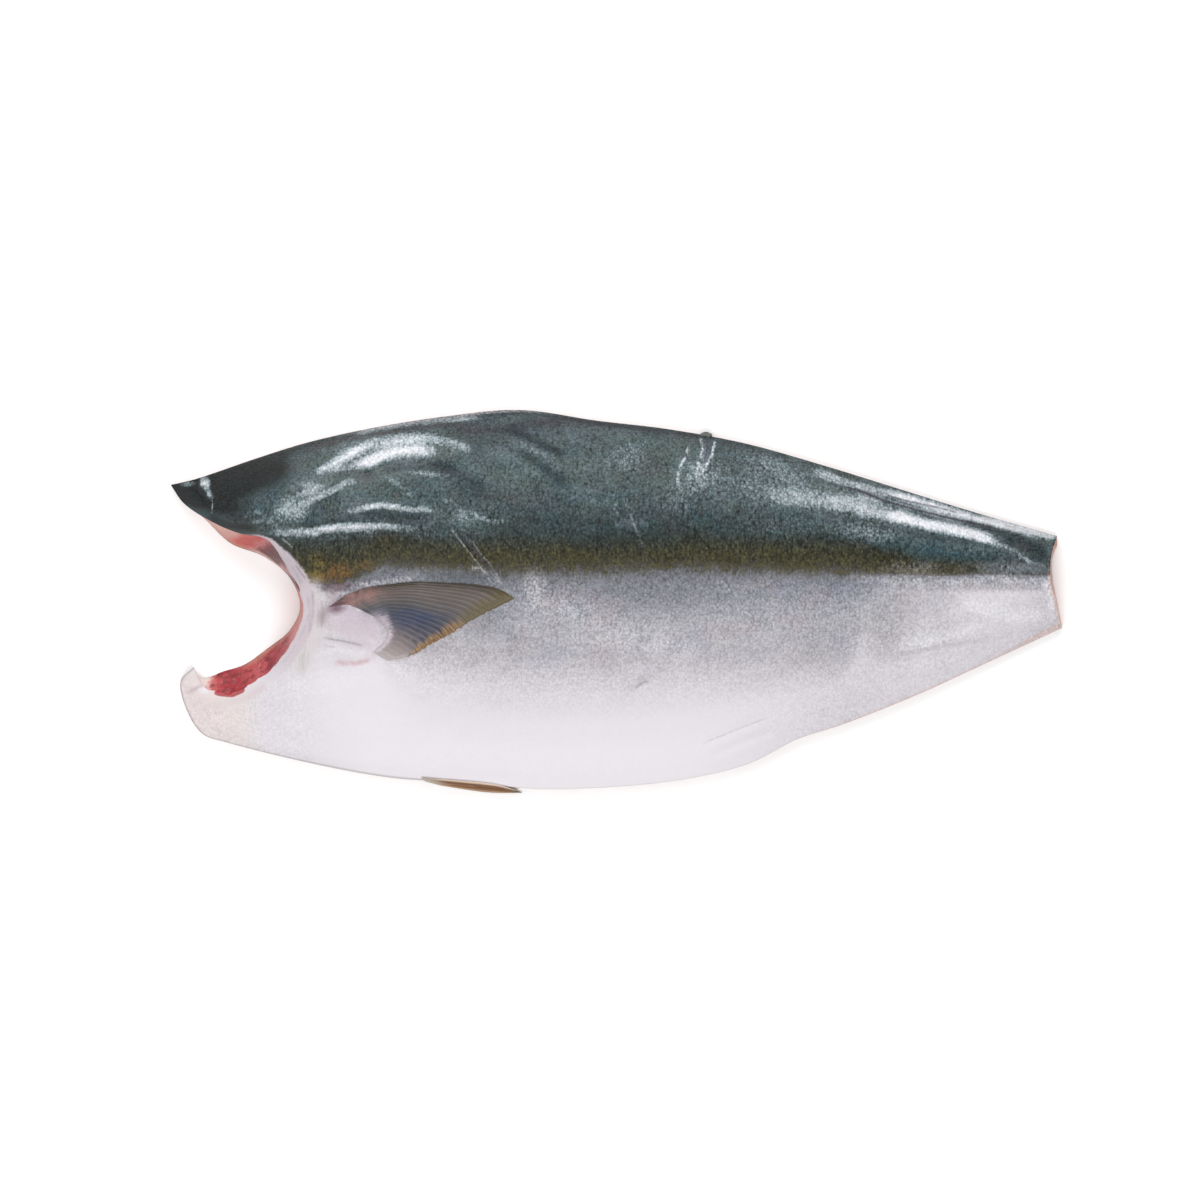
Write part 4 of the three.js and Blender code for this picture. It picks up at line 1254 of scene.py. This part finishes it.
def makeStub():
    bm = bmesh.new()
    verts = bmesh.ops.create_icosphere(bm, subdivisions=4, radius=1.0)["verts"]
    for vert in verts:
        vert.co *= 1 + stub["uneven"] * noise.noise(vert.co * 1.7)
    bmesh.ops.scale(bm, verts=verts, vec=[size * mm for size in stub["half"]])
    bmesh.ops.translate(bm, verts=verts, vec=[place * mm for place in stub["at"]])
    material, paint, shader = startMaterial("stubSkin")
    place = paint.node("TexCoord", output=3)
    blotch = paint.noise(place, 420.0, 3.0, 0.6)
    base = paint.blend(blotch.between(0.48, 0.62), stub["colour"], stub["light"])
    connect(paint, shader, {"Base Color": base, "Roughness": 0.3 + blotch * 0.15,
                            "Normal": paint.relief(blotch, 0.5, 0.0004)})
    return addPiece(bm, "dorsalStub", [material])


for fin in (makePectoral(), makePelvic(), makeStub()):
    dress(fin)
print("fins made")

# pale floor and soft studio lights: place and size in m, power in W
studio = {
    "floorSize": 8.0,
    "worldStrength": 0.46,
    "strip": {"at": (-0.1, 1.2, 0.7), "size": (1.9, 0.6), "power": 18},
    "window": {"at": (0.0, -1.5, 1.8), "size": (2.6, 1.3), "power": 42},
    "fill": {"at": (-1.8, 0.5, 1.5), "size": (1.2, 1.2), "power": 9},
}


def makeFloor():
    bm = bmesh.new()
    bmesh.ops.create_grid(bm, x_segments=4, y_segments=4, size=studio["floorSize"] / 2)
    bmesh.ops.translate(bm, verts=bm.verts, vec=(0, 0, -0.3 * mm))
    material, paint, shader = startMaterial("paleFloor")
    grain = paint.noise(paint.node("TexCoord", output=3), 60.0, 2.0, 0.5)
    level = 0.93 + grain * 0.02
    connect(paint, shader, {"Base Color": paint.grey(level), "Roughness": 0.9, "Specular IOR Level": 0.1})
    addPiece(bm, "floor", [material])


def addLight(name):
    light = studio[name]
    data = bpy.data.lights.new(name, "AREA")
    data.shape, data.size, data.size_y = "RECTANGLE", light["size"][0], light["size"][1]
    data.energy = light["power"]
    lamp = bpy.data.objects.new(name, data)
    lamp.location = light["at"]
    lamp.rotation_euler = (-Vector(light["at"])).to_track_quat("-Z", "Y").to_euler()
    bpy.context.collection.objects.link(lamp)


makeFloor()
for name in ("strip", "window", "fill"):
    addLight(name)
world = bpy.data.worlds.new("studio")
world.use_nodes = True
world.node_tree.nodes["Background"].inputs[0].default_value = (1, 1, 1, 1)
world.node_tree.nodes["Background"].inputs[1].default_value = studio["worldStrength"]
bpy.context.scene.world = world
bpy.context.scene.view_settings.view_transform = "Standard"
print("studio ready")
